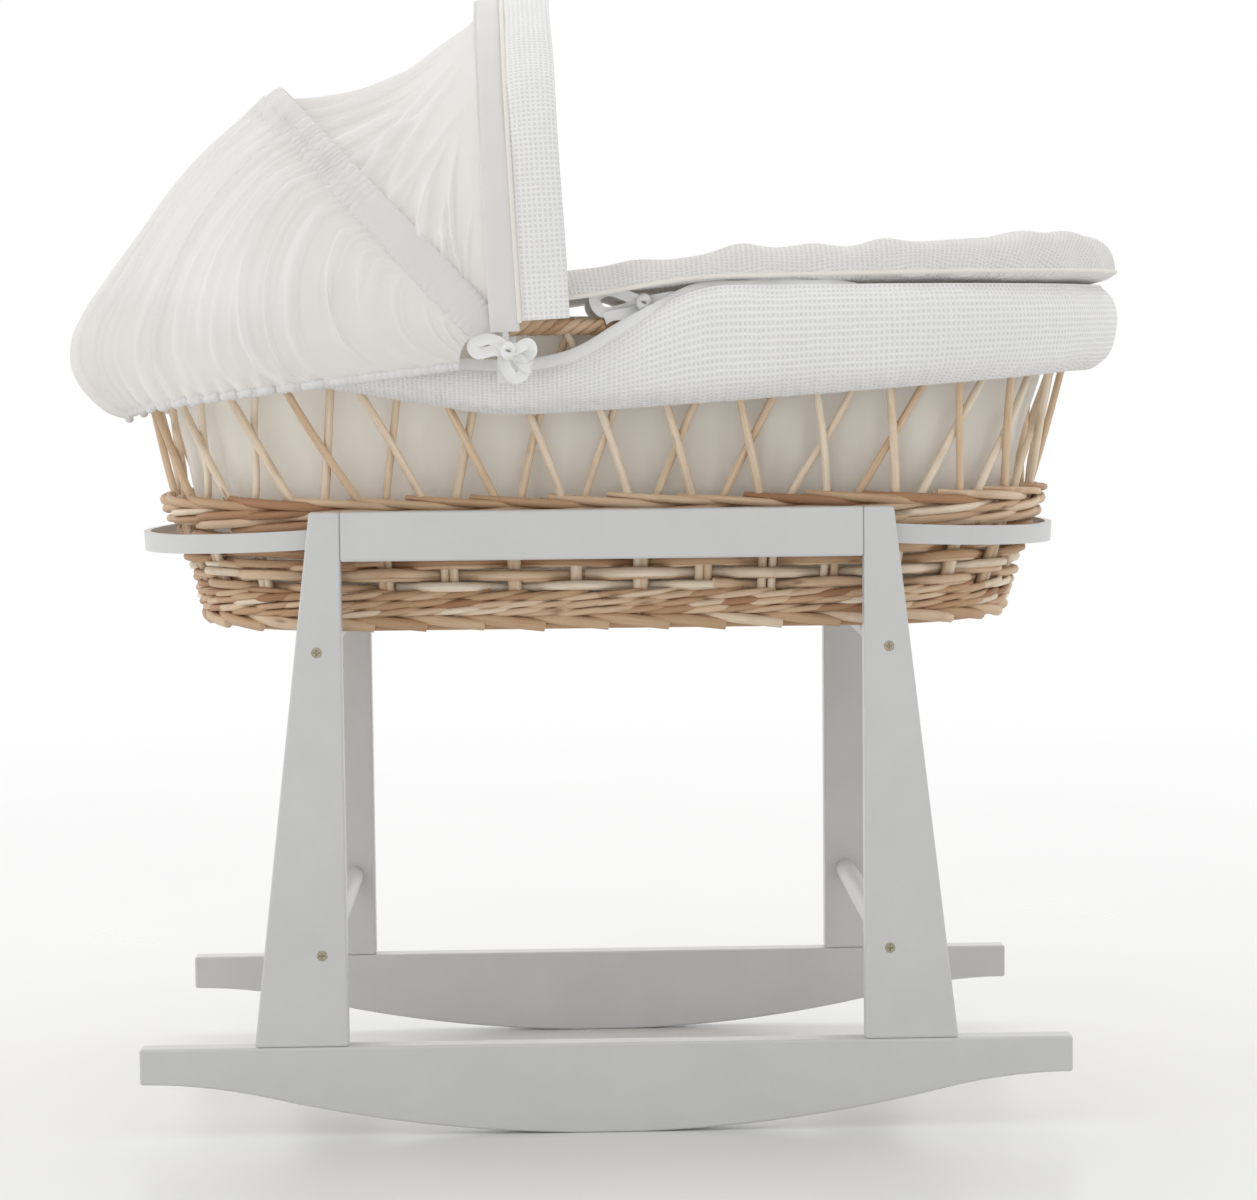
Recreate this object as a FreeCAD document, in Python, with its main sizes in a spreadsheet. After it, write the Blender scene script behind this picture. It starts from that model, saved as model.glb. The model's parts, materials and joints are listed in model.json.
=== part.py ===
"""Wicker bassinet with a folding fabric hood, on a rocking wooden stand.

Millimetres, +Z up. The origin is on the floor, in the middle of the stand: X runs from the
head (hood) end to the foot end, and Y from one side frame of the stand to the other.
"""

import FreeCAD, Part
import math
import os
import Sketcher

V = FreeCAD.Vector
X_AXIS = V(1, 0, 0)
Y_AXIS = V(0, 1, 0)
Z_AXIS = V(0, 0, 1)

SIZES = {
    # rocking stand
    "stand_clear": 12.756,
    "board_thick": 20.0,
    "edge_round": 2.5,
    "rocker_length": 820.0,
    "rocker_tall": 80.0,
    "rocker_end_tall": 32.0,
    "rocker_radius": 1275.0,
    "rocker_flat": 54.0,
    "leg_beyond": 1.0,
    "leg_foot_wide": 82.0,
    "leg_top_wide": 26.5,
    "stand_tall": 548.5,
    "rail_tall": 43.0,
    "dowel_dia": 20.0,
    "dowel_from_inner": 21.6,
    "lower_dowel_rise": 81.0,
    "upper_dowel_drop": 121.5,
    "screw_head_dia": 9.2,
    "screw_dia": 4.0,
    "screw_long": 50.0,
    "cross_slot_wide": 1.1,
    "cross_slot_deep": 1.8,
    "peg_dia": 8.0,
    "peg_long": 36.0,
    "rail_peg_spread": 22.0,
    "leg_peg_spread": 44.0,
    # bent wooden hoops round the basket's ends
    "hoop_clear": 8.0,
    "hoop_rise_share": 0.871,
    "hoop_corner_share": 0.82,
    "hoop_tall": 17.0,
    "hoop_thick": 6.0,
    "hoop_drop": 24.5,
    "hoop_droop": 3.0,
    "hoop_lap": 22.0,
    "hoop_screw_dia": 3.0,
    "hoop_screw_long": 15.0,
    # wicker basket: every level is two straight sides joined by half circles
    "basket_x": 6.0,
    "basket_straight": 452.0,
    "base_radius": 155.0,
    "wall_flare": 0.245,
    "basket_tall": 277.0,
    "rest_gap": 0.3,
    "rod_thick": 7.0,
    "stake_dia": 6.5,
    "stake_pairs": 33.0,
    "stake_lean": 1.0,
    "border_tall": 18.0,
    "base_thick": 12.0,
    "weave_rows": 6.0,
    "weave_top_up": 91.0,
    "wale_rows": 3.0,
    "wale_row_tall": 9.2,
    "rim_tall": 16.0,
    "liner_thick": 2.5,
    "mattress_thick": 40.0,
    "mattress_gap": 2.0,
    # padded skirt over the rim
    "skirt_thick": 28.5,
    "skirt_rise": 26.0,
    "skirt_drop": 90.0,
    "skirt_foot_lift": 36.0,
    "skirt_head_lift": 66.0,
    "handle_half": 70.0,
    "handle_run": 170.0,
    "handle_deep": 66.0,
    "binding_wide": 5.0,
    # hood
    "pivot_ahead": 140.0,
    "pivot_drop": 26.3,
    "front_bow_angle": 93.0,
    "rear_bow_angle": 133.5,
    "bow_reach": 316.0,
    "bow_rise_share": 0.805,
    "arch_corner_share": 0.825,
    "bow_dia": 6.0,
    "eye_dia": 14.0,
    "rivet_dia": 4.0,
    "rivet_clearance": 0.08,
    "casing_thick": 7.6,
    "front_casing_wide": 25.0,
    "rear_casing_wide": 32.0,
    "border_wide": 42.0,
    "hood_border_thick": 10.0,
    "tab_thick": 2.0,
    "tab_wide": 16.0,
    "body_gap": 0.4,
    "panel_thick": 2.0,
    "panel_dip": 46.0,
    "panel_leg_lift": 20.0,
    "panel_puff": 13.0,
    "hood_back_out": 16.6,
    "hem_dia": 8.0,
    "hem_clear": 2.0,
    "hem_drop": 51.0,
    "hem_start_back": 48.0,
    "hem_start_drop": 21.0,
    "hem_knee_share": 0.54,
    "tie_thick": 4.0,
    # quilt
    "quilt_head_ahead": 20.0,
    "quilt_over_side": 9.0,
    "quilt_over_foot": 25.0,
    "quilt_thin": 20.0,
    "quilt_slope": 3.4,
    "quilt_round": 8.0,
}

doc = FreeCAD.newDocument("BassinetOnStand")
sheet = doc.addObject("Spreadsheet::Sheet", "Sizes")
for row, (alias, number) in enumerate(SIZES.items(), start=1):
    sheet.set(f"A{row}", alias)
    sheet.set(f"B{row}", str(number))
    sheet.setAlias(f"B{row}", alias)
doc.recompute()

finished = []


def size(alias):
    """The number in the sheet's cell of that name."""
    return float(getattr(sheet, alias))


def value(expression):
    """The number that an expression of the sheet's cells gives."""
    return float(sheet.evalExpression(expression))


def finish(thing, label):
    """Keeps an object as a sub-part: its label names its file."""
    thing.Label = label
    finished.append(thing)
    return thing


def place(thing, x="0", y="0", z="0", rotation=FreeCAD.Rotation()):
    """Puts an object at a point given by expressions, so it follows the sheet."""
    thing.Placement = FreeCAD.Placement(V(value(x), value(y), value(z)), rotation)
    thing.setExpression("Placement.Base.x", x)
    thing.setExpression("Placement.Base.y", y)
    thing.setExpression("Placement.Base.z", z)
    return thing


def fixed_shape(label, shape):
    """A sub-part whose shape is worked out below from the sheet's sizes."""
    feature = doc.addObject("Part::Feature", label)
    feature.Shape = shape
    feature.Placement = FreeCAD.Placement()
    return finish(feature, label)


# ---------------------------------------------------------------- wooden stand

TOWARD_Y = FreeCAD.Rotation(X_AXIS, -90)
TOWARD_X = FreeCAD.Rotation(Y_AXIS, 90)
WALL_RISE = "(Sizes.upper_dowel_drop - Sizes.dowel_dia / 2 - Sizes.rest_gap)"
STAND_INSIDE = f"(Sizes.base_radius + Sizes.wall_flare * {WALL_RISE} + Sizes.stand_clear)"
OUTSIDE = f"({STAND_INSIDE} + Sizes.board_thick)"
BOARD_MIDDLE = f"({STAND_INSIDE} + Sizes.board_thick / 2)"
LEG_INNER = "(Sizes.basket_straight / 2 + Sizes.leg_beyond)"
DOWEL_X = f"({LEG_INNER} + Sizes.dowel_from_inner)"


def origin_plane(body, role):
    return next(item for item in body.Origin.OriginFeatures if item.Role == role)


def new_sketch(body, role):
    sketch = body.newObject("Sketcher::SketchObject", body.Name + "Sketch")
    sketch.AttachmentSupport = [(origin_plane(body, role), "")]
    sketch.MapMode = "FlatFace"
    return sketch


def pin_vertex(sketch, edge, end, across, up):
    """Fixes one vertex of a sketch by two expressions."""
    for kind, expression in (("DistanceX", across), ("DistanceY", up)):
        number = value(expression)
        index = sketch.addConstraint(Sketcher.Constraint(kind, -1, 1, edge, end, number))
        sketch.setExpression(f"Constraints[{index}]", expression)


def board(name, corners):
    """A flat board standing in the XZ plane, its outline pinned corner by corner."""
    body = doc.addObject("PartDesign::Body", name)
    sketch = new_sketch(body, "XZ_Plane")
    points = [V(value(across), value(up), 0) for across, up in corners]
    count = len(points)
    for i in range(count):
        sketch.addGeometry(Part.LineSegment(points[i], points[(i + 1) % count]), False)
    for i in range(count):
        sketch.addConstraint(Sketcher.Constraint("Coincident", i, 2, (i + 1) % count, 1))
        pin_vertex(sketch, i, 1, *corners[i])
    return round_edges(pad(body, sketch, "Sizes.board_thick"))


def pad(body, sketch, length):
    feature = body.newObject("PartDesign::Pad", body.Name + "Pad")
    feature.Profile = sketch
    feature.Midplane = True
    feature.Length = value(length)
    feature.setExpression("Length", length)
    doc.recompute()
    return body


def round_edges(body):
    solid = body.Tip
    fillet = body.newObject("PartDesign::Fillet", body.Name + "Fillet")
    fillet.Base = (solid, ["Edge1"])
    fillet.UseAllEdges = True
    fillet.Radius = value("Sizes.edge_round")
    fillet.setExpression("Radius", "Sizes.edge_round")
    doc.recompute()
    return body


def rocker_board(name):
    """A rocker: flat on top, a big arc below that turns up into the two thin ends."""
    half = value("Sizes.rocker_length / 2")
    flat = value("Sizes.rocker_flat / 2")
    end_up = value("Sizes.rocker_tall - Sizes.rocker_end_tall")
    top = value("Sizes.rocker_tall")
    radius = size("rocker_radius")
    centre_up = math.sqrt(radius**2 - flat**2)
    drop = centre_up - end_up
    reverse = (half**2 + drop**2 - radius**2) / (2 * (radius - drop))
    centre = V(0, centre_up, 0)
    body = doc.addObject("PartDesign::Body", name)
    sketch = new_sketch(body, "XZ_Plane")

    def arc(middle, arc_radius, first, last):
        circle = Part.Circle(middle, Z_AXIS, arc_radius)
        return Part.ArcOfCircle(circle, math.radians(first), math.radians(last))

    flat_turn = math.degrees(math.asin(flat / radius))
    reverse_turn = math.degrees(math.asin(half / (radius + reverse)))
    right_end = V(half, end_up - reverse, 0)
    left_end = V(-half, end_up - reverse, 0)
    outline = [
        Part.LineSegment(V(-half, top, 0), V(half, top, 0)),
        Part.LineSegment(V(half, top, 0), V(half, end_up, 0)),
        arc(right_end, reverse, 90, 90 + reverse_turn),
        arc(centre, radius, -90 + flat_turn, -90 + reverse_turn),
        Part.LineSegment(V(flat, 0, 0), V(-flat, 0, 0)),
        arc(centre, radius, -90 - reverse_turn, -90 - flat_turn),
        arc(left_end, reverse, 90 - reverse_turn, 90),
        Part.LineSegment(V(-half, end_up, 0), V(-half, top, 0)),
    ]
    top_line, right_line, right_rise, right_arc, flat_line, left_arc, left_rise, left_line = range(8)
    for edge in outline:
        sketch.addGeometry(edge, False)
    joins = [
        ("Coincident", top_line, 2, right_line, 1),
        ("Coincident", right_line, 2, right_rise, 1),
        ("Tangent", right_rise, 2, right_arc, 2),
        ("Coincident", right_arc, 1, flat_line, 1),
        ("Coincident", flat_line, 2, left_arc, 2),
        ("Tangent", left_arc, 1, left_rise, 1),
        ("Coincident", left_rise, 2, left_line, 1),
        ("Coincident", left_line, 2, top_line, 1),
        ("Vertical", right_rise, 3, right_rise, 1),
        ("Vertical", left_rise, 3, left_rise, 2),
    ]
    for join in joins:
        sketch.addConstraint(Sketcher.Constraint(*join))
    half_length = "Sizes.rocker_length / 2"
    end_height = "Sizes.rocker_tall - Sizes.rocker_end_tall"
    pin_vertex(sketch, top_line, 1, "-" + half_length, "Sizes.rocker_tall")
    pin_vertex(sketch, right_line, 1, half_length, "Sizes.rocker_tall")
    pin_vertex(sketch, right_rise, 1, half_length, end_height)
    pin_vertex(sketch, left_rise, 2, "-" + half_length, end_height)
    pin_vertex(sketch, flat_line, 1, "Sizes.rocker_flat / 2", "0")
    pin_vertex(sketch, flat_line, 2, "-Sizes.rocker_flat / 2", "0")
    for edge in (right_arc, left_arc):
        index = sketch.addConstraint(Sketcher.Constraint("Radius", edge, radius))
        sketch.setExpression(f"Constraints[{index}]", "Sizes.rocker_radius")
    return round_edges(pad(body, sketch, "Sizes.board_thick"))


def cylinder(name, diameter, length, rotation, x, y, z):
    """A round bar from a point given by expressions, along the turned Z axis."""
    bar = doc.addObject("Part::Cylinder", name)
    bar.setExpression("Radius", f"{diameter} / 2")
    bar.setExpression("Height", length)
    return place(bar, x, y, z, rotation)


def fuse(name, pieces):
    joined = doc.addObject("Part::MultiFuse", name)
    joined.Shapes = pieces
    return joined


def cut(label, base, tools):
    """A sub-part with its holes taken out of it."""
    result = doc.addObject("Part::Cut", label)
    result.Base = base
    result.Tool = fuse(label + "_holes", tools)
    return finish(result, label)


SIDES = (("front", -1), ("back", 1))
ENDS = (("head", -1), ("foot", 1))
LOWER_UP = "(Sizes.rocker_tall + Sizes.lower_dowel_rise)"
UPPER_UP = "(Sizes.stand_tall - Sizes.upper_dowel_drop)"
LEVELS = (("lower", LOWER_UP), ("upper", UPPER_UP))
HOOP_UP = "(Sizes.stand_tall - Sizes.hoop_drop)"
LEG_MIDDLE = f"({LEG_INNER} + Sizes.leg_foot_wide / 2)"


def leg_peg_x(end, step):
    return f"{end} * {LEG_MIDDLE} + {step} * Sizes.leg_peg_spread / 2"


def rail_peg_z(step):
    return f"Sizes.stand_tall - Sizes.rail_tall / 2 + {step} * Sizes.rail_peg_spread / 2"


def upright_peg(name, side, end, step):
    """A peg that joins a leg's foot to the rocker below it."""
    return cylinder(
        name,
        "Sizes.peg_dia",
        "Sizes.peg_long",
        FreeCAD.Rotation(),
        leg_peg_x(end, step),
        f"{side} * {BOARD_MIDDLE}",
        "Sizes.rocker_tall - Sizes.peg_long / 2",
    )


def level_peg(name, side, end, step):
    """A peg that joins the end of a rail to the leg beside it."""
    return cylinder(
        name,
        "Sizes.peg_dia",
        "Sizes.peg_long",
        TOWARD_X,
        f"{end} * {LEG_INNER} - Sizes.peg_long / 2",
        f"{side} * {BOARD_MIDDLE}",
        rail_peg_z(step),
    )


def screw_holes(name, side, end, up):
    """The shank hole and the round recess of the head, through a leg at a dowel's height."""
    depth = f"{side} * {OUTSIDE}"
    shank = cylinder(
        name + "_shank",
        "Sizes.screw_dia",
        "Sizes.board_thick",
        TOWARD_Y,
        f"{end} * {DOWEL_X}",
        f"{depth} - {(1 + side) // 2} * Sizes.board_thick",
        up,
    )
    recess = cylinder(
        name + "_recess",
        "Sizes.screw_head_dia",
        "Sizes.screw_dia / 2",
        TOWARD_Y,
        f"{end} * {DOWEL_X}",
        f"{depth} - {(1 + side) // 2} * Sizes.screw_dia / 2",
        up,
    )
    return [shank, recess]


def hoop_screw_place(side, end, step):
    """The middle of a hoop screw's head, on the hoop's inner face beside a leg."""
    across = f"{end} * ({LEG_INNER} + Sizes.hoop_lap / 2 + {step} * Sizes.hoop_lap / 4)"
    depth = f"{side} * ({OUTSIDE} - Sizes.board_thick - Sizes.hoop_thick)"
    return across, depth, HOOP_UP


def hoop_screw_bar(name, side, end, step, diameter, length):
    """A bar along a hoop screw, from the hoop's inner face outwards into the leg."""
    across, depth, up = hoop_screw_place(side, end, step)
    start = f"{depth} - {(1 - side) // 2} * {length}"
    return cylinder(name, diameter, length, TOWARD_Y, across, start, up)


def make_side_frame(side_name, side):
    """Rocker, two tapered legs and the top rail of one side, with all their holes."""
    middle = f"{side} * {BOARD_MIDDLE}"
    rocker = place(rocker_board(side_name + "_rocker_board"), y=middle)
    holes = []
    for end_name, end in ENDS:
        for step in (-1, 1):
            tag = f"{side_name}_rocker_{end_name}_hole_{step + 1}"
            holes.append(upright_peg(tag, side, end, step))
    cut(side_name + "_rocker", rocker, holes)
    rail = board(
        side_name + "_rail_board",
        [
            ("-" + LEG_INNER, "Sizes.stand_tall - Sizes.rail_tall"),
            (LEG_INNER, "Sizes.stand_tall - Sizes.rail_tall"),
            (LEG_INNER, "Sizes.stand_tall"),
            ("-" + LEG_INNER, "Sizes.stand_tall"),
        ],
    )
    place(rail, y=middle)
    holes = []
    for end_name, end in ENDS:
        for step in (-1, 1):
            tag = f"{side_name}_rail_{end_name}_hole_{step + 1}"
            holes.append(level_peg(tag, side, end, step))
    cut(side_name + "_rail", rail, holes)
    for end_name, end in ENDS:
        make_leg(side_name, side, end_name, end)


def make_leg(side_name, side, end_name, end):
    """One leg: upright inside edge, slanting outside edge, narrower at the top."""
    name = f"{side_name}_{end_name}_leg"
    outline = [
        (f"{end} * {LEG_INNER}", "Sizes.rocker_tall"),
        (f"{end} * ({LEG_INNER} + Sizes.leg_foot_wide)", "Sizes.rocker_tall"),
        (f"{end} * ({LEG_INNER} + Sizes.leg_top_wide)", "Sizes.stand_tall"),
        (f"{end} * {LEG_INNER}", "Sizes.stand_tall"),
    ]
    body = place(board(name + "_board", outline), y=f"{side} * {BOARD_MIDDLE}")
    holes = []
    for step in (-1, 1):
        holes.append(upright_peg(f"{name}_foot_hole_{step + 1}", side, end, step))
        holes.append(level_peg(f"{name}_rail_hole_{step + 1}", side, end, step))
        tag = f"{name}_hoop_hole_{step + 1}"
        length = "Sizes.hoop_screw_long"
        holes.append(hoop_screw_bar(tag, side, end, step, "Sizes.hoop_screw_dia", length))
    for level, up in LEVELS:
        holes += screw_holes(f"{name}_{level}_hole", side, end, up)
    cut(name, body, holes)


def make_dowels():
    """Four round cross bars between the side frames, drilled at both ends for the screws."""
    inside = f"2 * {STAND_INSIDE}"
    for level, up in LEVELS:
        for end_name, end in ENDS:
            name = f"{level}_{end_name}_dowel"
            across = f"{end} * {DOWEL_X}"
            bar = cylinder(name + "_bar", "Sizes.dowel_dia", inside, TOWARD_Y, across, f"-({inside}) / 2", up)
            reach = "Sizes.screw_long - Sizes.board_thick"
            near = f"-({inside}) / 2"
            far = f"({inside}) / 2 - ({reach})"
            holes = [
                cylinder(name + "_near_hole", "Sizes.screw_dia", reach, TOWARD_Y, across, near, up),
                cylinder(name + "_far_hole", "Sizes.screw_dia", reach, TOWARD_Y, across, far, up),
            ]
            cut(name, bar, holes)


def cross_head_screw(length, shank_dia, head_dia):
    """A screw along +Z, its flat head's top at the origin, with a cross recess."""
    head = Part.makeCylinder(head_dia / 2, shank_dia / 2, V(0, 0, 0), Z_AXIS)
    head = head.makeFillet(shank_dia / 8, [head.Edges[2]])
    shank = Part.makeCylinder(shank_dia / 2, length, V(0, 0, 0), Z_AXIS)
    screw = head.fuse(shank)
    slot_wide = size("cross_slot_wide")
    slot_deep = size("cross_slot_deep")
    slot_long = head_dia * 0.62
    for wide, tall in ((slot_long, slot_wide), (slot_wide, slot_long)):
        screw = screw.cut(Part.makeBox(wide, tall, slot_deep, V(-wide / 2, -tall / 2, 0)))
    return screw.removeSplitter()


def along_y(shape, side, point):
    """Turns a piece made along +Z so that it points inwards from that side, and moves it."""
    turned = shape.copy()
    turned.rotate(V(0, 0, 0), X_AXIS, 90 * side)
    turned.translate(point)
    return turned


def make_fasteners():
    """Frame screws, hoop screws, and the wooden pegs of the side frames."""
    frame_screw = cross_head_screw(size("screw_long"), size("screw_dia"), size("screw_head_dia"))
    screws = []
    for side_name, side in SIDES:
        for end_name, end in ENDS:
            for level, up in LEVELS:
                point = V(end * value(DOWEL_X), side * value(OUTSIDE), value(up))
                screws.append(along_y(frame_screw, side, point))
    fixed_shape("frame_screws", Part.makeCompound(screws))
    hoop_screws = []
    for side_name, side in SIDES:
        for end_name, end in ENDS:
            for step in (-1, 1):
                across, depth, up = hoop_screw_place(side, end, step)
                length = size("hoop_screw_long")
                pin = Part.makeCylinder(size("hoop_screw_dia") / 2, length, V(0, 0, 0), Z_AXIS)
                point = V(value(across), value(depth), value(up))
                hoop_screws.append(along_y(pin, -side, point))
    fixed_shape("hoop_screws", Part.makeCompound(hoop_screws))
    pegs = []
    for side_name, side in SIDES:
        for end_name, end in ENDS:
            for step in (-1, 1):
                tag = f"{side_name}_{end_name}_peg_{step + 1}"
                pegs.append(upright_peg("foot_" + tag, side, end, step))
                pegs.append(level_peg("rail_" + tag, side, end, step))
    group = doc.addObject("Part::Compound", "wooden_pegs")
    group.Links = pegs
    finish(group, "wooden_pegs")


# ---------------------------------------------------------------- wicker basket

HALF_STRAIGHT = value("Sizes.basket_straight / 2")
BASE_UP = value(UPPER_UP + " + Sizes.dowel_dia / 2 + Sizes.rest_gap")
RIM_TOP = BASE_UP + size("basket_tall")


def wall(up):
    """The wicker's outside, as a distance from the basket's straight core, at a height."""
    return size("base_radius") + size("wall_flare") * (up - BASE_UP)


def core_sweep(face):
    """Takes a face in the XZ plane, x being the distance from the core, round the basket."""
    half = HALF_STRAIGHT
    centre = size("basket_x")
    pieces = []
    for end in (1, -1):
        turned = face.copy()
        turned.rotate(V(0, 0, 0), Z_AXIS, -90 * end)
        round_end = turned.revolve(V(0, 0, 0), Z_AXIS, 180)
        round_end.translate(V(centre + end * half, 0, 0))
        side = turned.copy()
        side.translate(V(centre - half, 0, 0))
        pieces.append(round_end)
        pieces.append(side.extrude(V(2 * half, 0, 0)))
    solid = pieces[0].multiFuse(pieces[1:]).removeSplitter()
    return solid.Solids[0]


def section(points):
    """A face in the XZ plane from (distance, height) points."""
    corners = [V(distance, 0, up) for distance, up in points]
    return Part.Face(Part.makePolygon(corners + corners[:1]))


def wall_band(outward, inward, low, high, ease=0.0):
    """A band that follows the wall's slope between two heights, with eased corners."""
    points = [
        (wall(low) + outward - ease, low),
        (wall(low + ease) + outward, low + ease),
        (wall(high - ease) + outward, high - ease),
        (wall(high) + outward - ease, high),
        (wall(high) + inward + ease, high),
        (wall(high - ease) + inward, high - ease),
        (wall(low + ease) + inward, low + ease),
        (wall(low) + inward + ease, low),
    ]
    if ease == 0:
        points = [points[0], points[2], points[4], points[6]]
    return core_sweep(section(points))


def core_plate(outward, low, high):
    """A solid plate over the whole plan, its edge following the wall's slope."""
    points = [(0, low), (wall(low) + outward, low), (wall(high) + outward, high), (0, high)]
    return core_sweep(section(points))


ROD = size("rod_thick")
STAKE = size("stake_dia")
STAKE_GAP = 0.5
PAIR_SPREAD = 0.6
OUTER_LAYER = -(ROD + STAKE / 2 + STAKE_GAP / 2)
INNER_LAYER = OUTER_LAYER - STAKE - STAKE_GAP
WICKER_INSIDE = INNER_LAYER - STAKE / 2 - STAKE_GAP
BORDER_TOP = BASE_UP + size("border_tall")
BASE_TOP = BASE_UP + STAKE_GAP * 5 + size("base_thick")
WEAVE_TOP = BASE_UP + size("weave_top_up")
WALE_TOP = WEAVE_TOP + size("wale_rows") * size("wale_row_tall")
RIM_LOW = RIM_TOP - size("rim_tall")
BEND_RADIUS = wall(WEAVE_TOP)
STAKE_PITCH = (4 * HALF_STRAIGHT + 2 * math.pi * BEND_RADIUS) / size("stake_pairs")
LEAN_ANGLE = size("stake_lean") * STAKE_PITCH / BEND_RADIUS
STAKE_SAG = wall(RIM_TOP) * (1 - math.cos(LEAN_ANGLE / 2))
LINER_OUTSIDE = WICKER_INSIDE - STAKE_GAP - STAKE_SAG
LINER_INSIDE = LINER_OUTSIDE - size("liner_thick")


def wall_point(length, up, layer):
    """A point of the wall, by its distance round the basket at the bend of the stakes."""
    half = HALF_STRAIGHT
    quarter = half
    turn_length = math.pi * BEND_RADIUS
    around = 4 * half + 2 * turn_length
    length = length % around
    reach = wall(up) + layer
    centre = size("basket_x")
    if length < quarter:
        return V(centre + length, -reach, up)
    length -= quarter
    if length < turn_length:
        angle = length / BEND_RADIUS - math.pi / 2
        return V(centre + half + reach * math.cos(angle), reach * math.sin(angle), up)
    length -= turn_length
    if length < 2 * half:
        return V(centre + half - length, reach, up)
    length -= 2 * half
    if length < turn_length:
        angle = length / BEND_RADIUS + math.pi / 2
        return V(centre - half + reach * math.cos(angle), reach * math.sin(angle), up)
    length -= turn_length
    return V(centre - half + length, -reach, up)


def rod_between(start, end):
    """A straight round rod from one point to another, run on past both by its own width."""
    along = (end - start).normalize()
    length = (end - start).Length + 2 * STAKE
    return Part.makeCylinder(STAKE / 2, length, start - along * STAKE, along)


def bent_stake(foot, bend, tip, low, high):
    """A willow rod that stands in the lower wall, bends, and leans up to the rim."""
    below = rod_between(foot, bend).common(slab(low, bend.z))
    above = rod_between(bend, tip).common(slab(bend.z, high))
    return below.fuse(above).removeSplitter().Solids[0]


def slab(low, high):
    wide = 2 * (HALF_STRAIGHT + wall(RIM_TOP) + size("rocker_length"))
    return Part.makeBox(wide, wide, high - low, V(-wide / 2, -wide / 2, low))


def make_stakes():
    """Stakes stand in pairs in the lower wall and part there into a crossed lattice."""
    pairs = int(size("stake_pairs"))
    lean = size("stake_lean") * STAKE_PITCH
    for label, layer, way in (
        ("left_leaning_stakes", OUTER_LAYER, -1),
        ("right_leaning_stakes", INNER_LAYER, 1),
    ):
        stakes = []
        for i in range(pairs):
            foot_at = (i + 0.5) * STAKE_PITCH + way * STAKE * PAIR_SPREAD
            foot = wall_point(foot_at, BORDER_TOP, layer)
            bend = wall_point(foot_at, WEAVE_TOP, layer)
            tip = wall_point(foot_at + way * lean, RIM_LOW, layer)
            stakes.append(bent_stake(foot, bend, tip, BORDER_TOP, RIM_LOW))
        fixed_shape(label, Part.makeCompound(stakes))


def make_wicker():
    """Base, borders and woven bands of the basket."""
    low_gap = STAKE_GAP * 5
    fixed_shape("woven_base", core_plate(WICKER_INSIDE, BASE_UP + low_gap, BASE_TOP))
    border = wall_band(2.0, WICKER_INSIDE + STAKE_GAP / 2, BASE_UP, BORDER_TOP, 2.0)
    fixed_shape("foot_border", border)
    rows = int(size("weave_rows"))
    row_pitch = (WEAVE_TOP - BORDER_TOP) / rows
    bands = []
    for i in range(rows):
        low = BORDER_TOP + i * row_pitch + STAKE_GAP
        bands.append(wall_band(0, -ROD, low, low + row_pitch - 2 * STAKE_GAP, 2.0))
    fixed_shape("lower_weave", Part.makeCompound(bands))
    wales = []
    for i in range(int(size("wale_rows"))):
        low = WEAVE_TOP + i * size("wale_row_tall") + STAKE_GAP / 2
        wales.append(wall_band(0, -ROD, low, low + size("wale_row_tall") - STAKE_GAP, 2.0))
    fixed_shape("upper_wale", Part.makeCompound(wales))
    make_stakes()
    fixed_shape("rim_border", wall_band(0, WICKER_INSIDE + STAKE_GAP / 2, RIM_LOW, RIM_TOP, 2.0))


# ---------------------------------------------------------------- bedding

SKIRT_REACH = wall(RIM_TOP) + size("skirt_thick") - 2
SKIRT_TOP = RIM_TOP + size("skirt_rise")
SKIRT_LOW = RIM_TOP - size("skirt_drop")


def make_liner():
    """The cotton lining: a cup inside the wicker, open at the top."""
    floor_low = BORDER_TOP + STAKE_GAP / 2
    top = RIM_TOP + STAKE_GAP
    floor_top = floor_low + size("liner_thick")
    points = [
        (0, floor_low),
        (wall(floor_low) + LINER_OUTSIDE, floor_low),
        (wall(top) + LINER_OUTSIDE, top),
        (wall(top) + LINER_INSIDE, top),
        (wall(floor_top) + LINER_INSIDE, floor_top),
        (0, floor_top),
    ]
    fixed_shape("liner", core_sweep(section(points)))
    return floor_top


def make_mattress(floor_top):
    low = floor_top + STAKE_GAP
    high = low + size("mattress_thick")
    inset = LINER_INSIDE - size("mattress_gap")
    edge = min(size("mattress_thick") / 4, 10)
    straight = wall(low) + inset
    points = [
        (0, low),
        (straight - edge, low),
        (straight, low + edge),
        (straight, high - edge),
        (straight - edge, high),
        (0, high),
    ]
    fixed_shape("mattress", core_sweep(section(points)))


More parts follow.
